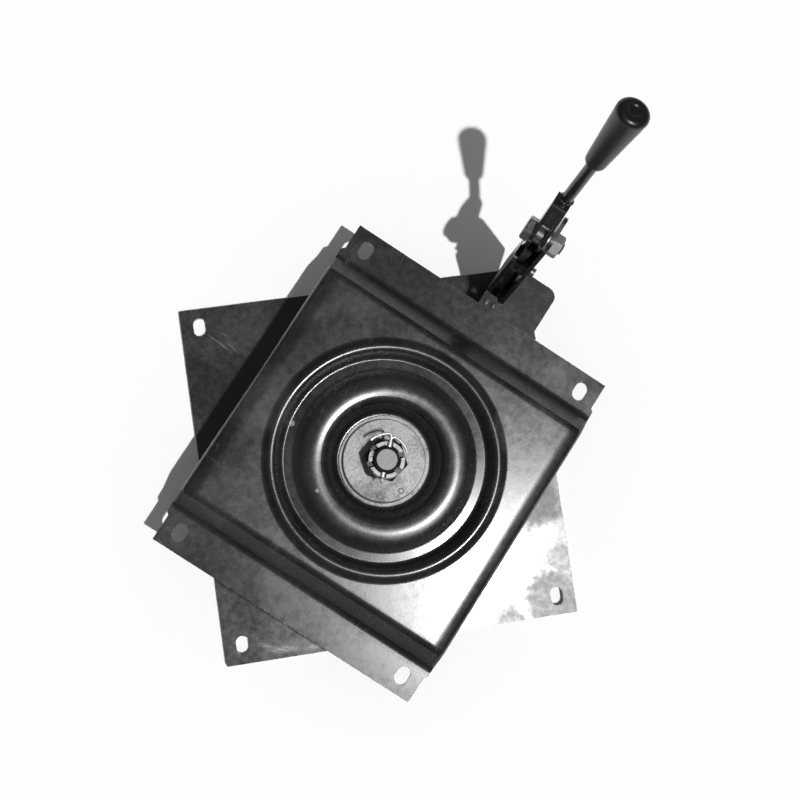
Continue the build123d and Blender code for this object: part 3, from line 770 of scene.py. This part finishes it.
def polar_solid(origin, axis, first, rows, segments):
    """Closed solid round an axis; rows are (height, radius as a function of angle and height)."""
    shape = bmesh.new()
    side = axis.cross(first)
    rings = []
    for height, radius_at in rows:
        ring = []
        for step in range(segments):
            angle = 2 * pi * step / segments
            radius = radius_at(angle, height)
            spoke = first * (radius * cos(angle)) + side * (radius * sin(angle))
            ring.append(shape.verts.new(origin + axis * height + spoke))
        rings.append(ring)
    strip(shape, [closed(ring) for ring in rings])
    shape.faces.new(list(reversed(rings[0])))
    shape.faces.new(rings[-1])
    return shape


def circle_of(radius):
    """Row of a plain round section."""
    return lambda angle, height: radius


def hexagon_of(across, chamfer_from):
    """Row of a hexagon section, with its corners turned off towards a height."""
    def radius_at(angle, height):
        within = (angle + pi / HEX_SIDES) % (2 * pi / HEX_SIDES) - pi / HEX_SIDES
        flat = across / 2 / cos(within)
        return min(flat, across / 2 + max(0.0, abs(height - chamfer_from)) / HEX_CHAMFER)
    return radius_at


def thread_of(radius, pitch, end, chamfer):
    """Row of a screw thread that is turned down near its end."""
    depth = 0.54 * pitch

    def radius_at(angle, height):
        turn = (height / pitch - angle / (2 * pi)) % 1.0
        cut = abs(2 * turn - 1)
        groove = radius - depth * min(1.0, max(0.0, 1.25 * cut - 0.12))
        return min(groove, radius - chamfer + (end - height))
    return radius_at


def spaced(start, stop, step):
    """Heights from start to stop at about one step."""
    count = max(1, round(abs(stop - start) / step))
    return [start + (stop - start) * index / count for index in range(count + 1)]


def hexagon_bolt(origin, axis, first, across, radius, head, thread, pitch, chamfer):
    """Bolt with a hexagon head and a screw thread, each given as (from, to) along the axis."""
    start, head_end = head
    thread_from, end = thread
    plain = circle_of(radius)
    screw = thread_of(radius, pitch, end, chamfer)
    hexagon = hexagon_of(across, start)
    rows = [(height, hexagon) for height in spaced(start, head_end, (head_end - start) / HEAD_ROWS)]
    rows += [(head_end, plain), (thread_from, plain)]
    rows += [(height, screw) for height in spaced(thread_from, end, pitch / PITCH_ROWS)]
    corner_way = first * cos(pi / HEX_SIDES) + axis.cross(first) * sin(pi / HEX_SIDES)
    return polar_solid(origin, axis, corner_way, rows, BOLT_SEGMENTS)


def bent_outline(corners):
    """Outline through corners of (place, height, bend radius), with each bend as an arc."""
    points = [Vector(corners[0][:2])]
    for before, corner, after in zip(corners, corners[1:], corners[2:]):
        here = Vector(corner[:2])
        radius = corner[2]
        arrive = (here - Vector(before[:2])).normalized()
        depart = (Vector(after[:2]) - here).normalized()
        turn = arrive.angle_signed(depart)
        start = here - arrive * (radius * tan(abs(turn) / 2))
        centre = start + Vector((-arrive.y, arrive.x)) * (radius if turn < 0 else -radius)
        steps = max(1, round(abs(turn) / BEND_STEP))
        for step in range(steps + 1):
            swing = Matrix.Rotation(-turn * step / steps, 2)
            points.append(centre + swing @ (start - centre))
    points.append(Vector(corners[-1][:2]))
    return points


def mirrored(outline):
    """An outline from one side of the middle to the other."""
    return [(-place, drop) for place, drop in reversed(outline)] + [tuple(point) for point in outline]


def joggle_outline(pressing, end):
    """Outline along a joggle, from the panel out to the flange: distance from the axis and drop."""
    fall = pressing.panel_level - pressing.flange_level
    run = (fall / 2 - pressing.joggle_roll) / tan(pressing.joggle_slope)
    gentle = pressing.joggle_roll / tan(pressing.roll)
    middle = pressing.joggle_middle
    bend = pressing.joggle_bend
    return bent_outline((
        (DISH_CORNERS[0][0] + pressing.dish_margin, 0.0, 0.0),
        (middle - run - gentle, 0.0, bend),
        (middle - run, -pressing.joggle_roll, bend),
        (middle + run, pressing.joggle_roll - fall, bend),
        (middle + run + gentle, -fall, bend),
        (end, -fall, 0.0),
    ))


def lip_outline(pressing, half_width):
    """Outline across a side lip, from the panel out and down: distance from the axis and drop."""
    gentle = pressing.lip_roll
    return bent_outline((
        (half_width - gentle - pressing.lip_lead, 0.0, 0.0),
        (half_width - gentle, 0.0, pressing.lip_roll_bend),
        (half_width, -gentle * tan(pressing.lip_turn), pressing.lip_bend),
        (half_width, -pressing.lip_depth, 0.0),
    ))


def panel_rows(shape, pressing, joggle, lip):
    """Rows of points over the plate, from end to end; the lips fade out along the joggles."""
    fall = pressing.panel_level - pressing.flange_level
    rows = []
    for along, sink in mirrored(joggle):
        fade = 1 + sink / fall
        row = []
        for across, drop in mirrored(lip):
            level = pressing.panel_level + sink + drop * fade
            place = LEVER_OUT * along + LEVER_AXIS * across + UP * level
            if row and (place - row[-1].co).length < SAME_PLACE:
                row.append(row[-1])
            else:
                row.append(shape.verts.new(place))
        rows.append(row)
    return rows


def cover_rows(shape, rows, gap):
    """Faces between the rows, but for the gap that holds the dish."""
    for number, (low, high) in enumerate(zip(rows, rows[1:])):
        for step in range(len(low) - 1):
            corners = tuple(dict.fromkeys((low[step], high[step], high[step + 1], low[step + 1])))
            if len(corners) > 2 and (number, step) != gap:
                shape.faces.new(corners)


def dish_rings(shape, pressing):
    """Rings of points down the pressed dish to the bush."""
    turns = [2 * pi * step / DISH_SEGMENTS for step in range(DISH_SEGMENTS)]
    rings = []
    for radius, height in bent_outline((*DISH_CORNERS, (pressing.bore, DISH_CORNERS[-1][1], 0.0))):
        level = UP * (pressing.panel_level + height)
        rings.append([shape.verts.new(Vector((cos(turn), sin(turn), 0)) * radius + level) for turn in turns])
    return rings


def slot_points(shape, pressing, place):
    """Points round a slot, which runs along the lever's way."""
    half_run = (pressing.slot_length - pressing.slot_width) / 2
    radius = pressing.slot_width / 2
    points = []
    for side in (1, -1):
        for step in range(SLOT_STEPS + 1):
            turn = pi * step / SLOT_STEPS - pi / 2
            along = LEVER_OUT * (side * (half_run + cos(turn) * radius))
            across = LEVER_AXIS * (side * sin(turn) * radius)
            points.append(shape.verts.new(place + along + across))
    return points


def add_flange(shape, pressing, row, side, start, half_length, half_width):
    """Slotted flange at one end, from the foot of its joggle to the plate's edge."""
    level = UP * pressing.flange_level
    edge = half_width - pressing.flange_step
    shoulder = start + pressing.flange_step
    outline = list(dict.fromkeys(row))
    for along, across in ((shoulder, edge), (half_length, edge), (half_length, -edge), (shoulder, -edge)):
        outline.append(shape.verts.new(LEVER_OUT * (side * along) + LEVER_AXIS * across + level))
    edges = loop_edges(shape, outline)
    slot_along = LEVER_OUT * (side * (half_length - pressing.slot_inset))
    for across in (pressing.slot_inset - edge, edge - pressing.slot_inset):
        slot = slot_points(shape, pressing, slot_along + LEVER_AXIS * across + level)
        edges += loop_edges(shape, slot)
    bmesh.ops.triangle_fill(shape, use_beauty=True, edges=edges, normal=UP)


def pressed_sheet(pressing, half_length, half_width):
    """Upper face of the pressed plate: panel, dish, lips, joggles and slotted flanges."""
    shape = bmesh.new()
    flange_start = pressing.joggle_middle + pressing.joggle_half
    joggle = joggle_outline(pressing, flange_start)
    lip = lip_outline(pressing, half_width)
    rows = panel_rows(shape, pressing, joggle, lip)
    end, side = len(joggle) - 1, len(lip) - 1
    cover_rows(shape, rows, (end, side))
    rings = dish_rings(shape, pressing)
    strip(shape, [closed(ring) for ring in rings])
    panel = [rows[end][side], rows[end + 1][side], rows[end + 1][side + 1], rows[end][side + 1]]
    edges = loop_edges(shape, panel) + loop_edges(shape, rings[0])
    bmesh.ops.triangle_fill(shape, use_beauty=True, edges=edges, normal=UP)
    for way, row in ((-1, rows[0]), (1, rows[-1])):
        add_flange(shape, pressing, row, way, flange_start, half_length, half_width)
    bmesh.ops.recalc_face_normals(shape, faces=shape.faces)
    if sum(face.normal.z * face.calc_area() for face in shape.faces) < 0:
        bmesh.ops.reverse_faces(shape, faces=shape.faces)
    return shape


def thicken(name, shape, thickness):
    """Gives a sheet its thickness below and returns the closed mesh."""
    mesh = bpy.data.meshes.new(name)
    shape.to_mesh(mesh)
    shape.free()
    sheet = bpy.data.objects.new(name, mesh)
    bpy.context.scene.collection.objects.link(sheet)
    solid = sheet.modifiers.new("sheet", "SOLIDIFY")
    solid.thickness = thickness
    solid.offset = -1.0
    seen = sheet.evaluated_get(bpy.context.evaluated_depsgraph_get())
    thick = bpy.data.meshes.new_from_object(seen)
    bpy.data.objects.remove(sheet)
    bpy.data.meshes.remove(mesh)
    made = bmesh.new()
    made.from_mesh(thick)
    bpy.data.meshes.remove(thick)
    return made


def add_seam(shape, route, half_width, ripple, seed, ring=False):
    """Adds a weld seam with ripples along a route of (place, up, along)."""
    dice = random.Random(seed)
    rows = []
    gone = 0.0
    for index, (place, up, along) in enumerate(route):
        up = up.normalized()
        side = along.cross(up)
        if index:
            gone += (place - route[index - 1][0]).length
        part = index / (len(route) - 1)
        taper = 1.0 if ring else min(1.0, sqrt(max(0.0, 1 - abs(2 * part - 1) ** 8)) + 0.02)
        swell = 1 + 0.10 * sin(2 * pi * gone / ripple) + dice.uniform(-0.05, 0.05)
        row = []
        for step in range(SEAM_STEPS + 1):
            angle = pi * step / SEAM_STEPS
            wide = cos(angle) * half_width * taper * swell
            tall = sin(angle) * half_width * 0.8 * taper * swell
            row.append(shape.verts.new(place + side * wide + up * tall))
        rows.append(row)
    sections = [closed(row) for row in rows]
    strip(shape, closed(sections) if ring else sections)
    if not ring:
        shape.faces.new(list(reversed(rows[0])))
        shape.faces.new(rows[-1])


def add_tack(shape, place, up, along, radius, seed):
    """Adds one lump of weld metal on a face."""
    made = bmesh.ops.create_icosphere(shape, subdivisions=4, radius=1.0)
    side = up.cross(along)
    shift = Vector((seed, seed * 0.37, seed * 0.71))
    for point in made["verts"]:
        way = point.co.normalized()
        lump = 1 + 0.16 * noise.noise(way * 1.7 + shift) + 0.05 * noise.noise(way * 5.0 + shift)
        tall = max(way.z, -0.12)
        point.co = place + (along * (way.x * 1.5) + side * (way.y * 0.9) + up * tall) * (radius * lump)


def points_of(node):
    """Places of a CAD node's points."""
    return [point.co for point in frame["nodes"][node].data.vertices]


def reach(node, origin, axis):
    """Lowest and highest place of a CAD node along an axis."""
    places = [(point - origin).dot(axis) for point in points_of(node)]
    return min(places), max(places)


def girth(node, origin, axis, low, high):
    """Largest radius of a CAD node round an axis, between two places along it."""
    largest = 0.0
    for point in points_of(node):
        away = point - origin
        along = away.dot(axis)
        if low - 1e-6 <= along <= high + 1e-6:
            largest = max(largest, (away - axis * along).length)
    return largest


def rod_line(points, low_end, high_end):
    """Foot, axis and radius of a round rod from its points."""
    axis = (high_end - low_end).normalized()
    for _ in range(AXIS_ROUNDS):
        places = [point.dot(axis) for point in points]
        half = (min(places) + max(places)) / 2
        low_group = [point for point, place in zip(points, places) if place < half]
        high_group = [point for point, place in zip(points, places) if place >= half]
        foot = sum(low_group, Vector()) / len(low_group)
        head = sum(high_group, Vector()) / len(high_group)
        axis = (head - foot).normalized()
    radius = max(((point - foot) - axis * (point - foot).dot(axis)).length for point in points)
    return foot, axis, radius


# Operators, one for each piece or group of like pieces

class SeatBaseOperator:
    """Shared settings of the operators."""

    bl_options = {"REGISTER", "UNDO"}


class SEATBASE_OT_effects(SeatBaseOperator, bpy.types.Operator):
    """Make the shared surface effects"""

    bl_idname = "seat_base.effects"
    bl_label = "Surface Effects"

    def execute(self, context):
        for make in GROUP_MAKERS:
            make()
        return {"FINISHED"}


class SEATBASE_OT_plates(SeatBaseOperator, bpy.types.Operator):
    """Finish the floor plate and the pressed upper plate"""

    bl_idname = "seat_base.plates"
    bl_label = "Floor Plate and Upper Plate"

    def execute(self, context):
        finish = context.scene.seat_base_finish
        detail = context.scene.seat_base_detail
        floor = black_steel(
            "floor_plate_black", finish, detail, finish.plate_roughness, 3.0, 0.40, 1.0,
            streaks=FLOOR_STREAKS, dull=FLOOR_DULL, cut=upright_faces,
        )
        upper = black_steel(
            "upper_plate_black", finish, detail, finish.plate_roughness, 11.0, 0.25, 0.8,
            soft=PANEL_CLOUDS, marks=PANEL_CHIPS, streaks=PANEL_STREAKS, cut=flange_faces,
        )
        dress(floor, "base_plate")
        self.add_upper_plate(upper, context.scene.seat_base_pressing)
        return {"FINISHED"}

    @staticmethod
    def add_upper_plate(black, pressing):
        """The pressed plate with soft bends and a raised bead round the dish."""
        half_length = reach("top_plate", Vector(), LEVER_OUT)[1]
        half_width = reach("top_plate", Vector(), LEVER_AXIS)[1]
        sheet = pressed_sheet(pressing, half_length, half_width)
        shape = thicken("upper_plate_face", sheet, pressing.sheet)
        plate = finish_mesh("upper_plate_pressed", shape, black, "turntable")
        weighted = plate.modifiers.new("flat faces first", "WEIGHTED_NORMAL")
        weighted.keep_sharp = True
        weighted.weight = FLAT_WEIGHT
        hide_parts("top_plate")


class SEATBASE_OT_king_bolt(SeatBaseOperator, bpy.types.Operator):
    """Make the threaded king bolt and finish its nut, washers and split pin"""

    bl_idname = "seat_base.king_bolt"
    bl_label = "King Bolt, Nut and Washers"

    def execute(self, context):
        finish = context.scene.seat_base_finish
        self.add_bolt(stud_steel("bolt_steel", finish, 21.0), context.scene.seat_base_detail)
        dress(washer_steel("washer_steel", finish, 23.0), "wear_washer", "nut_washer")
        dress(crown_steel("castle_nut_black", finish, 25.0), "castle_nut")
        dress(bare_steel("pin_zinc", finish.zinc, 27.0, 0.40, 0.2, metallic=0.5), "split_pin")
        return {"FINISHED"}

    @staticmethod
    def add_bolt(stud, detail):
        """Upright bolt with its head at the bottom and its thread through the nut."""
        low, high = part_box("king_bolt")
        nut_low, nut_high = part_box("castle_nut")
        foot = Vector((0, 0, low.z))
        end = high.z - low.z
        radius = girth("king_bolt", foot, UP, nut_high.z - low.z, end)
        shape = hexagon_bolt(
            foot, UP, Vector((1, 0, 0)), high.y - low.y, radius,
            (0.0, detail.king_head), (nut_low.z - low.z, end), detail.king_pitch, detail.king_chamfer,
        )
        bolt = finish_mesh("king_bolt_threaded", shape, stud, "base")
        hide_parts("king_bolt")


class SEATBASE_OT_race(SeatBaseOperator, bpy.types.Operator):
    """Finish the ball race, the bush and the lock ring, and weld the race down"""

    bl_idname = "seat_base.race"
    bl_label = "Ball Race and Lock Ring"

    def execute(self, context):
        finish = context.scene.seat_base_finish
        dress(bare_steel("race_steel", finish.race, 31.0, 0.40, 0.6), "lower_race", "lock_ring")
        weld = bare_steel("race_weld_metal", finish.weld, 39.0, 0.42, 0.6, metallic=0.5, cloud_scale=300.0)
        self.add_foot_welds(weld, context.scene.seat_base_detail)
        dress(bare_steel("ball_steel", BALL_TONE, 33.0, 0.12, 0.1), "bearing_balls")
        dress(moulded_plastic("cage_plastic", CAGE_TONE, 0.45, 35.0), "ball_cage")
        dress(moulded_plastic("bush_plastic", BUSH_TONE, 0.5, 37.0), "centre_bush")
        return {"FINISHED"}

    @staticmethod
    def add_foot_welds(weld, detail):
        """Four weld seams round the race's foot on the floor plate."""
        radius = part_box("lower_race")[1].x
        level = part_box("base_plate")[1].z
        seams = 4
        steps = 60
        shape = bmesh.new()
        for seam in range(seams):
            route = []
            for step in range(steps + 1):
                turn = 2 * pi * (seam + 0.5) / seams + (step / steps - 0.5) * detail.seam_turn
                spoke = Vector((cos(turn), sin(turn), 0))
                place = spoke * radius + UP * level
                route.append((place, UP + spoke, UP.cross(spoke)))
            add_seam(shape, route, detail.seam_radius, detail.ripple, 60.0 + seam)
        finish_mesh("race_foot_welds", shape, weld, "base")


class SEATBASE_OT_lever(SeatBaseOperator, bpy.types.Operator):
    """Finish the lever bracket, fork, rod and grip, with their welds"""

    bl_idname = "seat_base.lever"
    bl_label = "Lever and Bracket"

    def execute(self, context):
        finish = context.scene.seat_base_finish
        detail = context.scene.seat_base_detail
        satin = black_steel("bracket_black", finish, detail, finish.bracket_roughness, 40.0, 0.25, 0.6)
        dress(satin, "lever_bracket")
        black = black_steel("lever_black", finish, detail, finish.lever_roughness, 41.0, 0.10, 0.3)
        dress(black, "lever_fork", "lever_rod", "lock_pawl")
        dress(moulded_plastic("grip_plastic", finish.plastic, finish.grip_roughness, 43.0), "lever_grip")
        weld = bare_steel("weld_metal", finish.weld, 45.0, 0.40, 0.6, metallic=0.5, cloud_scale=300.0)
        self.add_tacks(weld, detail)
        self.add_rod_weld(black, detail)
        return {"FINISHED"}

    @staticmethod
    def add_tacks(weld, detail):
        """Two lumps of weld between the flange's edge and the channel's foot."""
        points = points_of("bracket_welds")
        across = [point.dot(LEVER_AXIS) for point in points]
        middle = (min(across) + max(across)) / 2
        foot = min(point.z for point in points)
        shape = bmesh.new()
        for number, side in enumerate((1, -1)):
            own = [point for point, place in zip(points, across) if (place - middle) * side > 0]
            centre = sum(own, Vector()) / len(own)
            centre.z = foot
            add_tack(shape, centre, UP, LEVER_OUT, detail.tack_radius, 3.0 + 5.0 * number)
        tacks = finish_mesh("bracket_tack_welds", shape, weld, "turntable")
        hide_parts("bracket_welds")

    @staticmethod
    def add_rod_weld(black, detail):
        """Ring of weld round the rod's foot on the fork."""
        points = points_of("lever_rod")
        low_end = min(points, key=lambda point: point.z)
        high_end = max(points, key=lambda point: point.z)
        foot, axis, radius = rod_line(points, low_end, high_end)
        first = LEVER_AXIS
        side = axis.cross(first)
        shape = bmesh.new()
        route = []
        steps = 64
        for step in range(steps):
            turn = 2 * pi * step / steps
            spoke = first * cos(turn) + side * sin(turn)
            route.append((foot + spoke * radius, axis + spoke * 0.6, side * cos(turn) - first * sin(turn)))
        add_seam(shape, route, detail.rod_weld, detail.ripple, 9.0, ring=True)
        finish_mesh("rod_foot_weld", shape, black, "lever")


class SEATBASE_OT_pivots(SeatBaseOperator, bpy.types.Operator):
    """Make the threaded pivot bolt and finish the pins, spacers and spring"""

    bl_idname = "seat_base.pivots"
    bl_label = "Pivot Bolt and Pins"

    def execute(self, context):
        finish = context.scene.seat_base_finish
        zinc = bare_steel("zinc_plate", finish.zinc, 51.0, 0.40, 0.5, 0.3, 1.0, 220.0)
        dress(zinc, "pivot_nut", "pivot_spacer")
        pins = bare_steel("pin_steel", finish.stud, 53.0, 0.34, 0.5, metallic=0.8)
        dress(pins, "pivot_sleeve", "pawl_pin", "pawl_spacers", "pawl_spring", "cam_pin")
        dark_zinc = bare_steel("dark_zinc", finish.stud, 57.0, 0.26, 0.6, 0.35, 1.0, 220.0)
        self.add_bolt(dark_zinc, context.scene.seat_base_detail)
        return {"FINISHED"}

    @staticmethod
    def add_bolt(dark_zinc, detail):
        """Bolt across the fork, with its head on one side and its thread through the nut on the other."""
        right = -LEVER_AXIS
        start, end = reach("pivot_bolt", LEVER_PIVOT, right)
        head_end = reach("lever_fork", LEVER_PIVOT, right)[0] - detail.head_gap
        thread_from = reach("pivot_nut", LEVER_PIVOT, right)[0]
        radius = girth("pivot_bolt", LEVER_PIVOT, right, thread_from, end)
        across = girth("pivot_bolt", LEVER_PIVOT, right, start, head_end) * sqrt(3)
        shape = hexagon_bolt(
            LEVER_PIVOT, right, LEVER_OUT, across, radius,
            (start, head_end), (thread_from, end), detail.pivot_pitch, detail.pivot_chamfer,
        )
        bolt = finish_mesh("pivot_bolt_threaded", shape, dark_zinc, "turntable")
        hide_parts("pivot_bolt")


class SEATBASE_OT_stage(SeatBaseOperator, bpy.types.Operator):
    """Set the floor, the light and the camera"""

    bl_idname = "seat_base.stage"
    bl_label = "Floor, Light and Camera"

    def execute(self, context):
        scene = context.scene
        stage = scene.seat_base_stage
        scene.view_settings.view_transform = "Standard"
        self.make_floor(scene, stage)
        self.make_world(scene, stage)
        self.make_key(scene, stage)
        self.make_camera(scene, stage)
        return {"FINISHED"}

    @staticmethod
    def make_floor(scene, stage):
        """A pale floor that turns to plain white far from the object."""
        shape = bmesh.new()
        bmesh.ops.create_grid(shape, x_segments=1, y_segments=1, size=stage.floor_side / 2)
        mesh = bpy.data.meshes.new("floor")
        shape.to_mesh(mesh)
        shape.free()
        floor = bpy.data.objects.new("floor", mesh)
        floor.location.z = -stage.floor_gap
        scene.collection.objects.link(floor)
        material, maker, shader, place = new_material("pale_floor")
        shader.inputs["Base Color"].default_value = stage.floor
        shader.inputs["Roughness"].default_value = stage.floor_roughness
        shader.inputs["Specular IOR Level"].default_value = 0.0
        away = maker.vector("LENGTH", place)
        path = maker.add("ShaderNodeLightPath").outputs
        in_gloss = maker.math("MAXIMUM", path["Is Glossy Ray"], path["Is Transmission Ray"])
        seen = maker.math("MAXIMUM", path["Is Camera Ray"], in_gloss)
        far = maker.math("MULTIPLY", maker.ramp(away, stage.white_from, stage.white_to), seen)
        white = maker.add("ShaderNodeEmission", {"Strength": 1.0}).outputs["Emission"]
        mixed = maker.add("ShaderNodeMixShader", {0: far, 1: shader.outputs["BSDF"], 2: white})
        maker.join(mixed.outputs["Shader"], maker.tree.nodes["Material Output"].inputs["Surface"])
        mesh.materials.append(material)

    @staticmethod
    def make_world(scene, stage):
        """Even fill light; gloss sees a dim overhead that falls off to the horizon."""
        world = bpy.data.worlds.new("studio")
        scene.world = world
        world.use_nodes = True
        maker = Tree(world.node_tree)
        path = maker.add("ShaderNodeLightPath").outputs
        up = maker.upward(maker.add("ShaderNodeTexCoord").outputs["Generated"])
        overhead = maker.ramp(up, *SKY_SPAN, stage.horizon, stage.sky)
        lit = maker.add("ShaderNodeMix", {0: path["Is Glossy Ray"], 2: stage.fill, 3: overhead}).outputs[0]
        background = world.node_tree.nodes["Background"]
        maker.join(lit, background.inputs["Strength"])
        background.inputs["Color"].default_value = (1.0, 1.0, 1.0, 1.0)

    @staticmethod
    def make_key(scene, stage):
        """Main lamp for light and shadow, and a lamp beside it that only gloss shows."""
        sun = bpy.data.lights.new("key", "SUN")
        sun.energy = stage.key_strength
        sun.angle = stage.key_angle
        key = bpy.data.objects.new("key", sun)
        key.rotation_euler = Vector(stage.key_from).to_track_quat("Z", "Y").to_euler()
        key.visible_glossy = False
        scene.collection.objects.link(key)
        lamp = bpy.data.lights.new("glint", "POINT")
        lamp.energy = stage.glint_power
        lamp.shadow_soft_size = stage.glint_radius
        lamp.use_nodes = True
        maker = Tree(lamp.node_tree)
        even = maker.add("ShaderNodeLightFalloff", {"Strength": 1.0}).outputs["Constant"]
        maker.join(even, lamp.node_tree.nodes["Emission"].inputs["Strength"])
        glint = bpy.data.objects.new("glint", lamp)
        glint.location = stage.glint_place
        glint.visible_diffuse = False
        scene.collection.objects.link(glint)

    @staticmethod
    def make_camera(scene, stage):
        """Camera that looks down on the object."""
        data = bpy.data.cameras.new("camera")
        data.sensor_width = SENSOR_WIDTH
        data.lens = stage.lens
        camera = bpy.data.objects.new("camera", data)
        camera.location = stage.camera_place
        camera.rotation_euler = stage.camera_turn
        scene.collection.objects.link(camera)
        scene.camera = camera


class SEATBASE_PT_panel(bpy.types.Panel):
    """Lists the pieces and their values"""

    bl_label = "Swivel Seat Base"
    bl_idname = "SEATBASE_PT_panel"
    bl_space_type = "VIEW_3D"
    bl_region_type = "UI"
    bl_category = "Seat Base"

    def draw(self, context):
        for operator in OPERATORS:
            self.layout.operator(operator.bl_idname)
        for name in GROUPS:
            values = getattr(context.scene, name)
            box = self.layout.box()
            for key in values.__annotations__:
                box.prop(values, key)


OPERATORS = (
    SEATBASE_OT_effects,
    SEATBASE_OT_plates,
    SEATBASE_OT_king_bolt,
    SEATBASE_OT_race,
    SEATBASE_OT_lever,
    SEATBASE_OT_pivots,
    SEATBASE_OT_stage,
)
GROUPS = {
    "seat_base_finish": SeatBaseFinish,
    "seat_base_detail": SeatBaseDetail,
    "seat_base_pressing": SeatBasePressing,
    "seat_base_stage": SeatBaseStage,
}


def register():
    """Registers the values, operators and panel."""
    for name, group in GROUPS.items():
        bpy.utils.register_class(group)
        setattr(bpy.types.Scene, name, PointerProperty(type=group))
    for item in (*OPERATORS, SEATBASE_PT_panel):
        bpy.utils.register_class(item)


def unregister():
    """Takes the values, operators and panel out again."""
    for item in reversed((*OPERATORS, SEATBASE_PT_panel)):
        bpy.utils.unregister_class(item)
    for name, group in GROUPS.items():
        delattr(bpy.types.Scene, name)
        bpy.utils.unregister_class(group)


def main():
    """Dresses the object and sets the stage."""
    register()
    bpy.ops.seat_base.effects()
    bpy.ops.seat_base.plates()
    bpy.ops.seat_base.king_bolt()
    bpy.ops.seat_base.race()
    bpy.ops.seat_base.lever()
    bpy.ops.seat_base.pivots()
    bpy.ops.seat_base.stage()


if __name__ == "__main__":
    main()
